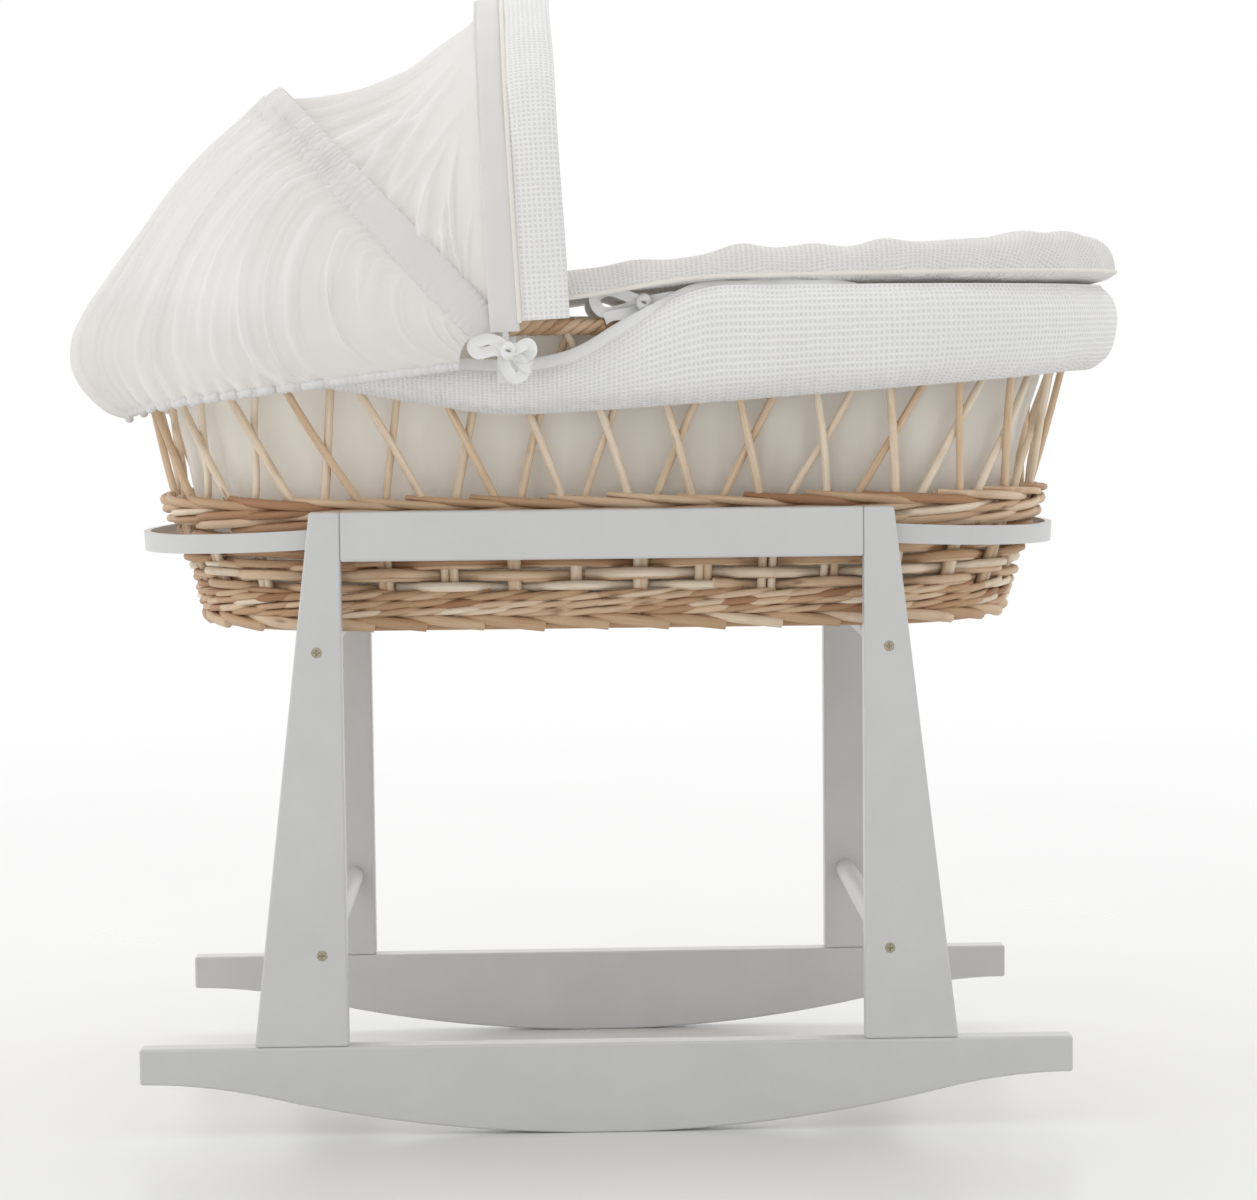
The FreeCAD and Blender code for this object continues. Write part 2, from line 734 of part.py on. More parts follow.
def skirt_section():
    """The padded roll's section: over the rim, out in a bulge, and down the wicker's outside."""
    clear = STAKE_GAP
    inside = wall(RIM_TOP) + LINER_INSIDE
    rest = RIM_TOP + 2 * STAKE_GAP
    reach = SKIRT_REACH
    shoulder = V(reach - size("skirt_thick") / 6, 0, RIM_TOP + size("skirt_rise") / 2)
    belly = V(reach, 0, RIM_TOP - size("skirt_thick") / 10)
    ankle = V(wall(SKIRT_LOW) + size("skirt_thick") / 2, 0, SKIRT_LOW)
    flank = V(reach - size("skirt_thick") / 6, 0, RIM_TOP - size("skirt_drop") / 2)
    start = V(inside, 0, rest)
    crest = V(wall(RIM_TOP) - size("skirt_thick") / 6, 0, SKIRT_TOP)
    round_off = size("skirt_thick") / 4
    hem = V(wall(SKIRT_LOW) + clear, 0, SKIRT_LOW)
    seat = V(wall(rest) + clear, 0, rest)
    edges = [
        Part.Arc(start, V(inside + round_off * 0.7, 0, SKIRT_TOP - round_off), crest).toShape(),
        Part.Arc(crest, V(shoulder.x - round_off, 0, SKIRT_TOP - round_off * 0.84), shoulder).toShape(),
        Part.Arc(shoulder, belly, flank).toShape(),
        Part.LineSegment(flank, ankle).toShape(),
        Part.LineSegment(ankle, hem).toShape(),
        Part.LineSegment(hem, seat).toShape(),
        Part.LineSegment(seat, start).toShape(),
    ]
    return Part.Face(Part.Wire(edges))


def side_prism(points):
    """A solid of that outline in the XZ plane, right through the part along Y."""
    half = 2 * value(OUTSIDE)
    corners = [V(across, -half, up) for across, up in points]
    return Part.Face(Part.makePolygon(corners + corners[:1])).extrude(V(0, 2 * half, 0))


def handle_notch(grow):
    """The dip that the skirt makes at each handle, grown outwards by a width."""
    half = size("handle_half")
    floor = SKIRT_TOP - size("handle_deep") - grow
    top = SKIRT_TOP + size("skirt_rise")
    left = PIVOT.x - half
    right = PIVOT.x + half / 4
    run = size("handle_run")
    return [
        (left - run - grow, top),
        (left - grow, floor),
        (right + grow, floor),
        (right + run + grow, top),
    ]


def make_skirt():
    """The padded skirt and the binding of its two handle dips."""
    full = core_sweep(skirt_section())
    margin = size("skirt_drop") / 2
    far = HALF_STRAIGHT + SKIRT_REACH + margin
    low = SKIRT_LOW - margin
    middle = PIVOT.x
    centre = size("basket_x")
    full = full.cut(
        side_prism(
            [
                (middle, low),
                (centre + far, low),
                (centre + far, SKIRT_LOW + size("skirt_foot_lift") * 1.1),
                (middle, SKIRT_LOW),
            ]
        )
    )
    full = full.cut(
        side_prism(
            [
                (middle, low),
                (centre - far, low),
                (centre - far, SKIRT_LOW + size("skirt_head_lift") * 1.1),
                (middle, SKIRT_LOW),
            ]
        )
    )
    opening = side_prism(handle_notch(0))
    wide_opening = side_prism(handle_notch(size("binding_wide")))
    skirt = full.cut(wide_opening)
    binding = full.common(wide_opening).cut(opening)
    fixed_shape("padded_skirt", Part.makeCompound(skirt.Solids))
    fixed_shape("skirt_binding", Part.makeCompound(binding.Solids))


def make_quilt():
    """The puffy coverlet over the foot half, thicker towards the foot."""
    low = SKIRT_TOP + 2 * STAKE_GAP
    head = PIVOT.x + size("quilt_head_ahead")
    half = wall(RIM_TOP) + size("quilt_over_side")
    foot = size("basket_x") + HALF_STRAIGHT + wall(RIM_TOP) + size("quilt_over_foot")
    slope = math.tan(math.radians(size("quilt_slope")))
    turn = foot - half
    outline = Part.Wire(
        [
            Part.LineSegment(V(head, -half, low), V(turn, -half, low)).toShape(),
            Part.Arc(V(turn, -half, low), V(foot, 0, low), V(turn, half, low)).toShape(),
            Part.LineSegment(V(turn, half, low), V(head, half, low)).toShape(),
            Part.LineSegment(V(head, half, low), V(head, -half, low)).toShape(),
        ]
    )
    thin = size("quilt_thin")
    thick = thin + slope * (foot - head)
    block = Part.Face(outline).extrude(V(0, 0, thick))
    past = thin / 2
    above = side_prism(
        [
            (head - past, low + thin - past * slope),
            (foot + past, low + thick + past * slope),
            (foot + past, low + 2 * thick),
            (head - past, low + 2 * thick),
        ]
    )
    quilt = block.cut(above)
    quilt = quilt.makeFillet(min(size("quilt_round"), thin / 2.5), quilt.Edges)
    fixed_shape("quilt", quilt)


# ---------------------------------------------------------------- hood

PIVOT = V(size("basket_x") - HALF_STRAIGHT + size("pivot_ahead"), 0, RIM_TOP - size("pivot_drop"))
HOOD_BACK = size("basket_x") - HALF_STRAIGHT - SKIRT_REACH - size("hood_back_out")
HEM_UP = PIVOT.z - size("hem_drop")
HEM_BACK = size("basket_x") - HALF_STRAIGHT - wall(HEM_UP) - size("hem_dia") / 2 - size("hem_clear")
TAB_INSIDE = SKIRT_REACH + size("body_gap")
TAB_OUTSIDE = TAB_INSIDE + size("tab_thick")
REAR_HALF = TAB_OUTSIDE + size("body_gap") + size("casing_thick") / 2
FRONT_HALF = REAR_HALF + size("casing_thick") + size("body_gap")
OUTER_FACE = FRONT_HALF + size("casing_thick") / 2
BOW_RISE = REAR_HALF * size("bow_rise_share")
BOW_LEG = size("bow_reach") - BOW_RISE
BOW_CORNER = BOW_RISE * size("arch_corner_share")
TIE_INSIDE = FRONT_HALF + size("hood_border_thick") / 2 + size("body_gap")


def direction(degrees):
    """The unit vector at an angle from +X towards +Z."""
    return V(math.cos(math.radians(degrees)), 0, math.sin(math.radians(degrees)))


def arch_edges(origin, along, half, leg, reach, corner, first):
    """A three-centred arch: two straight legs, two corner arcs and a flatter crown.

    The arch lies in the plane of Y and the along direction, from the height first up."""
    rise = reach - leg
    crown = ((half - corner) ** 2 + rise**2 - corner**2) / (2 * (rise - corner))
    turn = math.atan2(half - corner, crown - rise)

    def at(across, up):
        return origin + along * up + V(0, across, 0)

    def corner_point(angle):
        return half - corner + corner * math.cos(angle), leg + corner * math.sin(angle)

    meet = math.pi / 2 - turn
    shoulder = corner_point(meet)
    haunch = corner_point(meet / 2)
    return [
        Part.LineSegment(at(-half, first), at(-half, leg)).toShape(),
        Part.Arc(at(-half, leg), at(-haunch[0], haunch[1]), at(-shoulder[0], shoulder[1])).toShape(),
        Part.Arc(at(-shoulder[0], shoulder[1]), at(0, reach), at(*shoulder)).toShape(),
        Part.Arc(at(*shoulder), at(*haunch), at(half, leg)).toShape(),
        Part.LineSegment(at(half, leg), at(half, first)).toShape(),
    ]


def arch_band(origin, along, half, leg, reach, corner, first, thick):
    """The closed outline of a band of even thickness along an arch."""
    grow = thick / 2
    outer = arch_edges(origin, along, half + grow, leg, reach + grow, corner + grow, first)
    inner = arch_edges(origin, along, half - grow, leg, reach - grow, corner - grow, first)
    left = Part.LineSegment(inner[0].Vertexes[0].Point, outer[0].Vertexes[0].Point).toShape()
    right = Part.LineSegment(outer[-1].Vertexes[1].Point, inner[-1].Vertexes[1].Point).toShape()
    back = [edge for edge in reversed(inner)]
    return Part.Wire([left] + outer + [right] + back)


def make_hoops():
    """Bent strips that hold the basket's ends: arms screwed to the legs, then a flat arch."""
    thick = size("hoop_thick")
    half = value(OUTSIDE) - size("board_thick") - thick / 2
    arm_start = value(LEG_INNER) + thick / 2
    arm_end = value(LEG_INNER) + size("hoop_lap") + thick / 2
    basket_end = HALF_STRAIGHT + wall(value(HOOP_UP)) + abs(size("basket_x"))
    reach = basket_end + size("hoop_clear") + thick / 2
    rise = half * size("hoop_rise_share")
    corner = rise * size("hoop_corner_share")
    for end_name, end in ENDS:
        name = end_name + "_hoop"
        outline = doc.addObject("Part::Feature", name + "_outline")
        outline.Shape = Part.Face(
            arch_band(V(0, 0, 0), V(end, 0, 0), half, reach - rise, reach, corner, arm_start, thick)
        )
        strip = doc.addObject("Part::Extrusion", name + "_strip")
        strip.Base = outline
        strip.DirMode = "Custom"
        strip.Dir = Z_AXIS
        strip.Symmetric = True
        strip.LengthFwd = size("hoop_tall")
        strip.setExpression("LengthFwd", "Sizes.hoop_tall")
        tilt = FreeCAD.Rotation(Y_AXIS, end * size("hoop_droop"))
        hinge = V(end * arm_end, 0, value(HOOP_UP))
        strip.Placement = FreeCAD.Placement(hinge - tilt.multVec(V(hinge.x, 0, 0)), tilt)
        holes = []
        for side_name, side in SIDES:
            for step in (-1, 1):
                tag = f"{name}_{side_name}_hole_{step + 1}"
                length = "Sizes.hoop_screw_long"
                holes.append(hoop_screw_bar(tag, side, end, step, "Sizes.hoop_screw_dia", length))
        cut(name, strip, holes)


def bow_band(angle, half, thick, near, far, first):
    """A band along a bow, from one distance off the bow's plane to another."""
    along = direction(angle)
    normal = direction(angle - 90)
    origin = PIVOT + normal * near
    outline = arch_band(
        origin, along, half, BOW_LEG, size("bow_reach"), BOW_CORNER, first, thick
    )
    face = Part.Face(outline)
    return face.extrude(normal * (far - near))


def round_sweep(edges, diameter, start, along):
    """A round bar along a path of lines and arcs."""
    path = Part.Wire(edges)
    ring = Part.Wire([Part.Circle(start, along, diameter / 2).toShape()])
    return path.makePipeShell([ring], True, False)


def bow_rod(angle, half, diameter, first):
    along = direction(angle)
    edges = arch_edges(PIVOT, along, half, BOW_LEG, size("bow_reach"), BOW_CORNER, first)
    return round_sweep(edges, diameter, edges[0].Vertexes[0].Point, along)


def make_bow(name, angle, half):
    """A springy bow with an eye at each end, and the fabric casing that it runs in."""
    eye = size("eye_dia")
    thick = size("casing_thick")
    rod = bow_rod(angle, half, size("bow_dia"), eye * 0.3)
    hole = size("rivet_dia") / 2 + size("rivet_clearance")
    for side_name, side in SIDES:
        base = V(PIVOT.x, side * half - thick / 2, PIVOT.z)
        rod = rod.fuse(Part.makeCylinder(eye / 2, thick, base, Y_AXIS))
    for side_name, side in SIDES:
        base = V(PIVOT.x, side * half - thick, PIVOT.z)
        rod = rod.cut(Part.makeCylinder(hole, 2 * thick, base, Y_AXIS))
    fixed_shape(name, rod.removeSplitter().Solids[0])


def make_casing(name, angle, half, wide):
    band = bow_band(angle, half, size("casing_thick"), -wide / 2, wide / 2, size("eye_dia"))
    channel = bow_rod(angle, half, size("bow_dia") + 2 * STAKE_GAP, 0)
    fixed_shape(name, band.cut(channel).Solids[0])


def panel(name, stations):
    """A thin hood panel lofted through arches, each given as its own small record."""
    wires = []
    for station in stations:
        along = station["crown"] - station["root"]
        reach = along.Length
        along.normalize()
        wires.append(
            arch_band(
                station["root"],
                along,
                station["half"],
                station["leg"],
                reach - size("panel_thick") / 2,
                station["corner"],
                station["first"],
                size("panel_thick"),
            )
        )
    solid = Part.makeLoft(wires, True, True)
    fixed_shape(name, solid)


def between(first, last, share):
    return first + (last - first) * share


def fan_station(root, angle, reach, half, leg, corner, first):
    return {
        "root": root,
        "crown": root + direction(angle) * reach,
        "half": half,
        "leg": leg,
        "corner": corner,
        "first": first,
    }


def make_hood_panels():
    """The panel from bow to bow, which dips between them, and the deep rear panel."""
    front_angle, rear_angle = size("front_bow_angle"), size("rear_bow_angle")
    gap = size("body_gap")
    reach = size("bow_reach")
    front_off = size("front_casing_wide") / 2 + gap
    rear_off = size("rear_casing_wide") / 2 + gap
    half_spread = math.radians(rear_angle - front_angle) / 2
    middle_angle = (front_angle + rear_angle) / 2
    root = PIVOT + direction(middle_angle) * (max(front_off, rear_off) / math.sin(half_spread))
    back_off = (root - PIVOT).Length * math.cos(half_spread)
    stations = []
    for share in (0.0, 0.25, 0.5, 0.75, 1.0):
        angle = between(front_angle, rear_angle, share)
        dip = size("panel_dip") * math.sin(math.pi * share)
        half = between(FRONT_HALF, REAR_HALF, share)
        crown = reach - back_off - dip
        leg = BOW_LEG - back_off + size("panel_leg_lift")
        corner = (crown - leg) * size("arch_corner_share")
        stations.append(fan_station(root, angle, crown, half, leg, corner, size("eye_dia")))
    panel("hood_front_panel", stations)

    down = direction(rear_angle + 90)
    start = PIVOT + down * rear_off
    bow_crown = start + direction(rear_angle) * reach
    back_crown = V(HOOD_BACK + size("panel_thick") / 2, 0, PIVOT.z)
    hem_crown = V(HEM_BACK - size("hem_dia") / 2, 0, HEM_UP + size("hem_dia") / 2 + gap)
    puff = direction(rear_angle + 8) * size("panel_puff")
    stations = []
    for crown, inset, rise_share in (
        (bow_crown, 0, 0.805),
        (between(bow_crown, back_crown, 0.36) + puff * 0.45, 0, 0.79),
        (between(bow_crown, back_crown, 0.70) + puff, 0, 0.83),
        (between(bow_crown, back_crown, 0.87) + puff, 0, 0.87),
        (back_crown, 0, 0.87),
        (between(back_crown, hem_crown, 0.4) + direction(207) * 9, 0.5, 0.77),
        (hem_crown, 1, 0.64),
    ):
        half = REAR_HALF - inset * size("panel_thick")
        rise = half * rise_share
        stations.append(
            {
                "root": start,
                "crown": crown,
                "half": half,
                "leg": (crown - start).Length - rise,
                "corner": rise * size("arch_corner_share"),
                "first": 2 * size("eye_dia"),
            }
        )
    panel("hood_rear_panel", stations)


def make_hood_hem():
    """The gathered elastic hem that grips the basket under the skirt at the head end."""
    side = SKIRT_REACH + size("hem_dia") / 2 + size("body_gap")
    start = V(PIVOT.x - size("hem_start_back"), side, PIVOT.z - size("hem_start_drop"))
    crown = V(HEM_BACK, 0, HEM_UP)
    knee = between(start, crown, size("hem_knee_share"))
    knee.y = side - STAKE_GAP

    def mirrored(point):
        return V(point.x, -point.y, point.z)

    edges = [
        Part.LineSegment(mirrored(start), mirrored(knee)).toShape(),
        Part.Arc(mirrored(knee), crown, knee).toShape(),
        Part.LineSegment(knee, start).toShape(),
    ]
    along = mirrored(knee) - mirrored(start)
    along.normalize()
    fixed_shape("hood_hem", round_sweep(edges, size("hem_dia"), mirrored(start), along))


HEAD_GAP = 0.3
TIE_OUTLINE = (
    (-42, -4),
    (-12, -10),
    (-18, -38),
    (-9, -40),
    (-2, -16),
    (10, -36),
    (17, -31),
    (6, -10),
    (22, -8),
    (22, 12),
    (-4, 1),
    (-42, 14),
)


def make_pivots():
    """The sewn tab, the rivet and the ribbon bow at each side's pivot."""
    tabs, rivets, ties = [], [], []
    wide = size("tab_wide")
    tall = 2.4 * wide
    radius = size("rivet_dia") / 2
    for side_name, side in SIDES:
        tab_low = min(side * TAB_INSIDE, side * TAB_OUTSIDE)
        corner = V(PIVOT.x - wide / 2, tab_low, PIVOT.z - tall * 3 / 4)
        tab = Part.makeBox(wide, size("tab_thick"), tall, corner)
        start = V(PIVOT.x, side * TAB_INSIDE, PIVOT.z)
        outward = V(0, side, 0)
        shank = Part.makeCylinder(radius, OUTER_FACE + HEAD_GAP - TAB_INSIDE, start, outward)
        tabs.append(tab.cut(shank))
        seat = V(PIVOT.x, side * (OUTER_FACE + HEAD_GAP), PIVOT.z)
        head = Part.makeCylinder(radius * 2, radius / 2, seat, outward)
        rivets.append(shank.fuse(head).removeSplitter())
        ties.append(make_tie(side))
    fixed_shape("hood_tabs", Part.makeCompound(tabs))
    fixed_shape("hood_rivets", Part.makeCompound(rivets))
    fixed_shape("hood_ties", Part.makeCompound(ties))


def make_tie(side):
    """A ribbon bow as a flat bow-tie shape with two short tails, outside the pivot."""
    depth = side * (TIE_INSIDE + 3 * size("body_gap"))
    corners = [V(PIVOT.x + across, depth, PIVOT.z + up) for across, up in TIE_OUTLINE]
    face = Part.Face(Part.makePolygon(corners + corners[:1]))
    return face.extrude(V(0, side * size("tie_thick"), 0))


def make_hood():
    """The hood: two bows on one pivot, their casings, the panels, border, hem and ties."""
    make_bow("front_bow", size("front_bow_angle"), FRONT_HALF)
    make_bow("rear_bow", size("rear_bow_angle"), REAR_HALF)
    make_casing("front_bow_casing", size("front_bow_angle"), FRONT_HALF, size("front_casing_wide"))
    make_casing("rear_bow_casing", size("rear_bow_angle"), REAR_HALF, size("rear_casing_wide"))
    near = size("front_casing_wide") / 2
    border = bow_band(
        size("front_bow_angle"),
        FRONT_HALF,
        size("hood_border_thick"),
        near,
        near + size("border_wide"),
        1.6 * size("eye_dia"),
    )
    fixed_shape("hood_border", border)
    make_hood_panels()
    make_hood_hem()
    make_pivots()


for name, way in SIDES:
    make_side_frame(name, way)
make_dowels()
make_fasteners()
make_hoops()
make_wicker()
make_mattress(make_liner())
make_skirt()
make_quilt()
make_hood()
doc.recompute()

faults = []
for item in doc.Objects:
    if "Invalid" in item.State or "Error" in item.State:
        faults.append(f"{item.Label}: {item.State}")
for item in finished:
    if item.Shape.isNull() or not item.Shape.isValid() or not item.Shape.Solids:
        faults.append(f"{item.Label}: no valid solid")
if faults:
    raise RuntimeError("; ".join(faults))

os.makedirs("parts", exist_ok=True)
for item in finished:
    item.Shape.exportStep(f"parts/{item.Label}.step")
print(len(finished), "sub-parts written")
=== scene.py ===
"""Looks of a wicker bassinet on a rocking stand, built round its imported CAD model.

Metres, +Z up. X runs from the head (hood) end to the foot end, and -Y is the near side.
"""

import json
import math

import bpy
import numpy as np
from mathutils import Matrix, Vector


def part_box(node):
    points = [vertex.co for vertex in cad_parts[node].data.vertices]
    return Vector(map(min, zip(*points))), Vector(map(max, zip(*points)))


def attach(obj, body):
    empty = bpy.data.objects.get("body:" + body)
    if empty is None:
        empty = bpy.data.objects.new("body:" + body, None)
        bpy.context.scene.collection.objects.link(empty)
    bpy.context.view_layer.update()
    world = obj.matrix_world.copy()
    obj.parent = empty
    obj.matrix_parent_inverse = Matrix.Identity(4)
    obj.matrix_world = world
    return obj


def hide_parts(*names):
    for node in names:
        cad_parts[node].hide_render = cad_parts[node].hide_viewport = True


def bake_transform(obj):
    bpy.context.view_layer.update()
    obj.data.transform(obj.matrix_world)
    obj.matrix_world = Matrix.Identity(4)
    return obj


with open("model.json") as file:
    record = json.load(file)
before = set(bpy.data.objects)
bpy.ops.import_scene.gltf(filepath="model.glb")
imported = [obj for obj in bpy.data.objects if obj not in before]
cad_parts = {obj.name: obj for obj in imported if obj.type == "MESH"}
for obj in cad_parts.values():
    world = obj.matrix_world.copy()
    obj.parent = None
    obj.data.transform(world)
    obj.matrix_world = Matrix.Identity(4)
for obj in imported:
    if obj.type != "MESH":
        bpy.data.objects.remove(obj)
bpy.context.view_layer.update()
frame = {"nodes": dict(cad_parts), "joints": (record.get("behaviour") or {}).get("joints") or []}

MM = 0.001
UPRIGHT = np.array([0.0, 0.0, 1.0])
rng = np.random.default_rng(20)


# ---------------------------------------------------------------- places taken from the frame


class Box:
    """The lowest and highest corners of a CAD node."""

    def __init__(self, node):
        low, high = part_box(node)
        self.x0, self.y0, self.z0 = low
        self.x1, self.y1, self.z1 = high


rim = Box("rim_border")
foot_border = Box("foot_border")
weave = Box("lower_weave")
wale = Box("upper_wale")
base = Box("woven_base")
mattress = Box("mattress")
skirt = Box("padded_skirt")
quilt = Box("quilt")
casing = Box("rear_bow_casing")
front_casing = Box("front_bow_casing")
rear_panel = Box("hood_rear_panel")
hem = Box("hood_hem")
tabs = Box("hood_tabs")
ties = Box("hood_ties")

CENTRE = (rim.x0 + rim.x1) / 2
HALF = (rim.x1 - rim.x0 - rim.y1 + rim.y0) / 2
FLARE = (rim.y1 - wale.y1) / (rim.z1 - wale.z1)
BASE_UP = foot_border.z0
RIM_UP = rim.z1
WALE_TOP = wale.z1
END_TUCK = 0.022

pivot_joint = next(joint for joint in frame["joints"] if joint["name"] == "hood_fold")
PIVOT = Vector(pivot_joint["pos_m"])


def wall(up):
    """The wicker's outside, as a distance from the basket's straight core, at a height."""
    return rim.y1 + FLARE * (up - rim.z1)


def direction(degrees):
    """The unit vector at an angle from +X towards +Z."""
    turn = math.radians(degrees)
    return np.array([math.cos(turn), 0.0, math.sin(turn)])


def smooth(value):
    """An eased step from 0 to 1."""
    value = np.clip(value, 0, 1)
    return value * value * (3 - 2 * value)


def mix(first, last, share):
    return first + (last - first) * share


def all_round(count):
    """Even shares of the way round the basket."""
    return np.linspace(0, 1, count, endpoint=False)


def around(bend):
    """The way round the basket when its ends have that radius."""
    return 4 * HALF + 2 * math.pi * bend


def ring(share, reach, up, bend):
    """Points round the basket and their outward directions.

    A share from 0 to 1 starts in the middle of the near side and goes by the foot end. Shares
    are even along the line whose ends have the radius called bend."""
    share, reach, up, bend = np.broadcast_arrays(share, reach, up, bend)
    total = 4 * HALF + 2 * math.pi * bend
    s = np.mod(share, 1.0) * total
    turn = math.pi * bend
    foot = (s - HALF) / bend - math.pi / 2
    head = (s - 3 * HALF - turn) / bend + math.pi / 2
    cases = [s < HALF, s < HALF + turn, s < 3 * HALF + turn, s < 3 * HALF + 2 * turn]
    along = [s, HALF + reach * np.cos(foot), 2 * HALF + turn - s, reach * np.cos(head) - HALF]
    x = np.select(cases, along, s - total)
    y = np.select(cases, [-reach, reach * np.sin(foot), reach, reach * np.sin(head)], -reach)
    zero = np.zeros_like(reach)
    nx = np.select(cases, [zero, np.cos(foot), zero, np.cos(head)], zero)
    ny = np.select(cases, [zero - 1, np.sin(foot), zero + 1, np.sin(head)], zero - 1)
    tuck = 1 - END_TUCK * smooth((WALE_TOP - up) / (WALE_TOP - BASE_UP))
    points = np.stack([CENTRE + x * tuck, y, up], -1)
    return points, np.stack([nx, ny, zero], -1)


def on_ring(share, reach, up, bend):
    """Points round the basket, without their outward directions."""
    return ring(share, reach, up, bend)[0]


def unit(vectors):
    """The same vectors, each one long."""
    return vectors / np.linalg.norm(vectors, axis=1, keepdims=True)


def heading(line):
    """The direction of a line at each of its points."""
    return unit(np.gradient(line, axis=0))


def run_along(line):
    """The way along a line to each of its points."""
    return np.concatenate([[0], np.cumsum(np.linalg.norm(np.diff(line, axis=0), axis=1))])


def catmull(controls, count, closed=False):
    """Weights that take control points to points on a smooth curve through them."""
    spans = controls if closed else controls - 1
    at = np.linspace(0, spans, count, endpoint=not closed)
    weights = np.zeros((count, controls))
    for row, place in enumerate(at):
        first = min(int(place), spans - 1)
        t = place - first
        blend = (
            (-t + 2 * t**2 - t**3) / 2,
            (2 - 5 * t**2 + 3 * t**3) / 2,
            (t + 4 * t**2 - 3 * t**3) / 2,
            (t**3 - t**2) / 2,
        )
        for step, weight in enumerate(blend):
            index = first - 1 + step
            index = index % controls if closed else min(max(index, 0), controls - 1)
            weights[row, index] += weight
    return weights


def curve_through(points, count):
    """Points on a smooth open curve through a few chosen ones."""
    points = np.asarray(points, float)
    return catmull(len(points), count) @ points


def even(points, count):
    """The same line with points an even way apart."""
    at = run_along(points)
    want = np.linspace(0, at[-1], count)
    return np.stack([np.interp(want, at, points[:, axis]) for axis in range(3)], 1)


def length_of(points):
    """The length of a line."""
    return float(run_along(points)[-1])


def waves(share, count, strength=1.0):
    """A smooth closed random line: a sum of a few whole waves round a share of 0 to 1."""
    total = np.zeros_like(share)
    for number in count:
        total = total + np.sin(2 * math.pi * (number * share + rng.random())) * rng.uniform(0.5, 1)
    return strength * total / math.sqrt(len(count))


def patch_noise(rows, cols, cells_rows, cells_cols, closed=False):
    """Smooth random heights between -1 and 1 over a grid, optionally closed along its columns."""
    knots = rng.uniform(-1, 1, (cells_rows + 1, cells_cols + (0 if closed else 1)))
    down = catmull(cells_rows + 1, rows)
    across = catmull(knots.shape[1], cols, closed)
    return down @ knots @ across.T


# ---------------------------------------------------------------- meshes


END_BULGE = 0.15


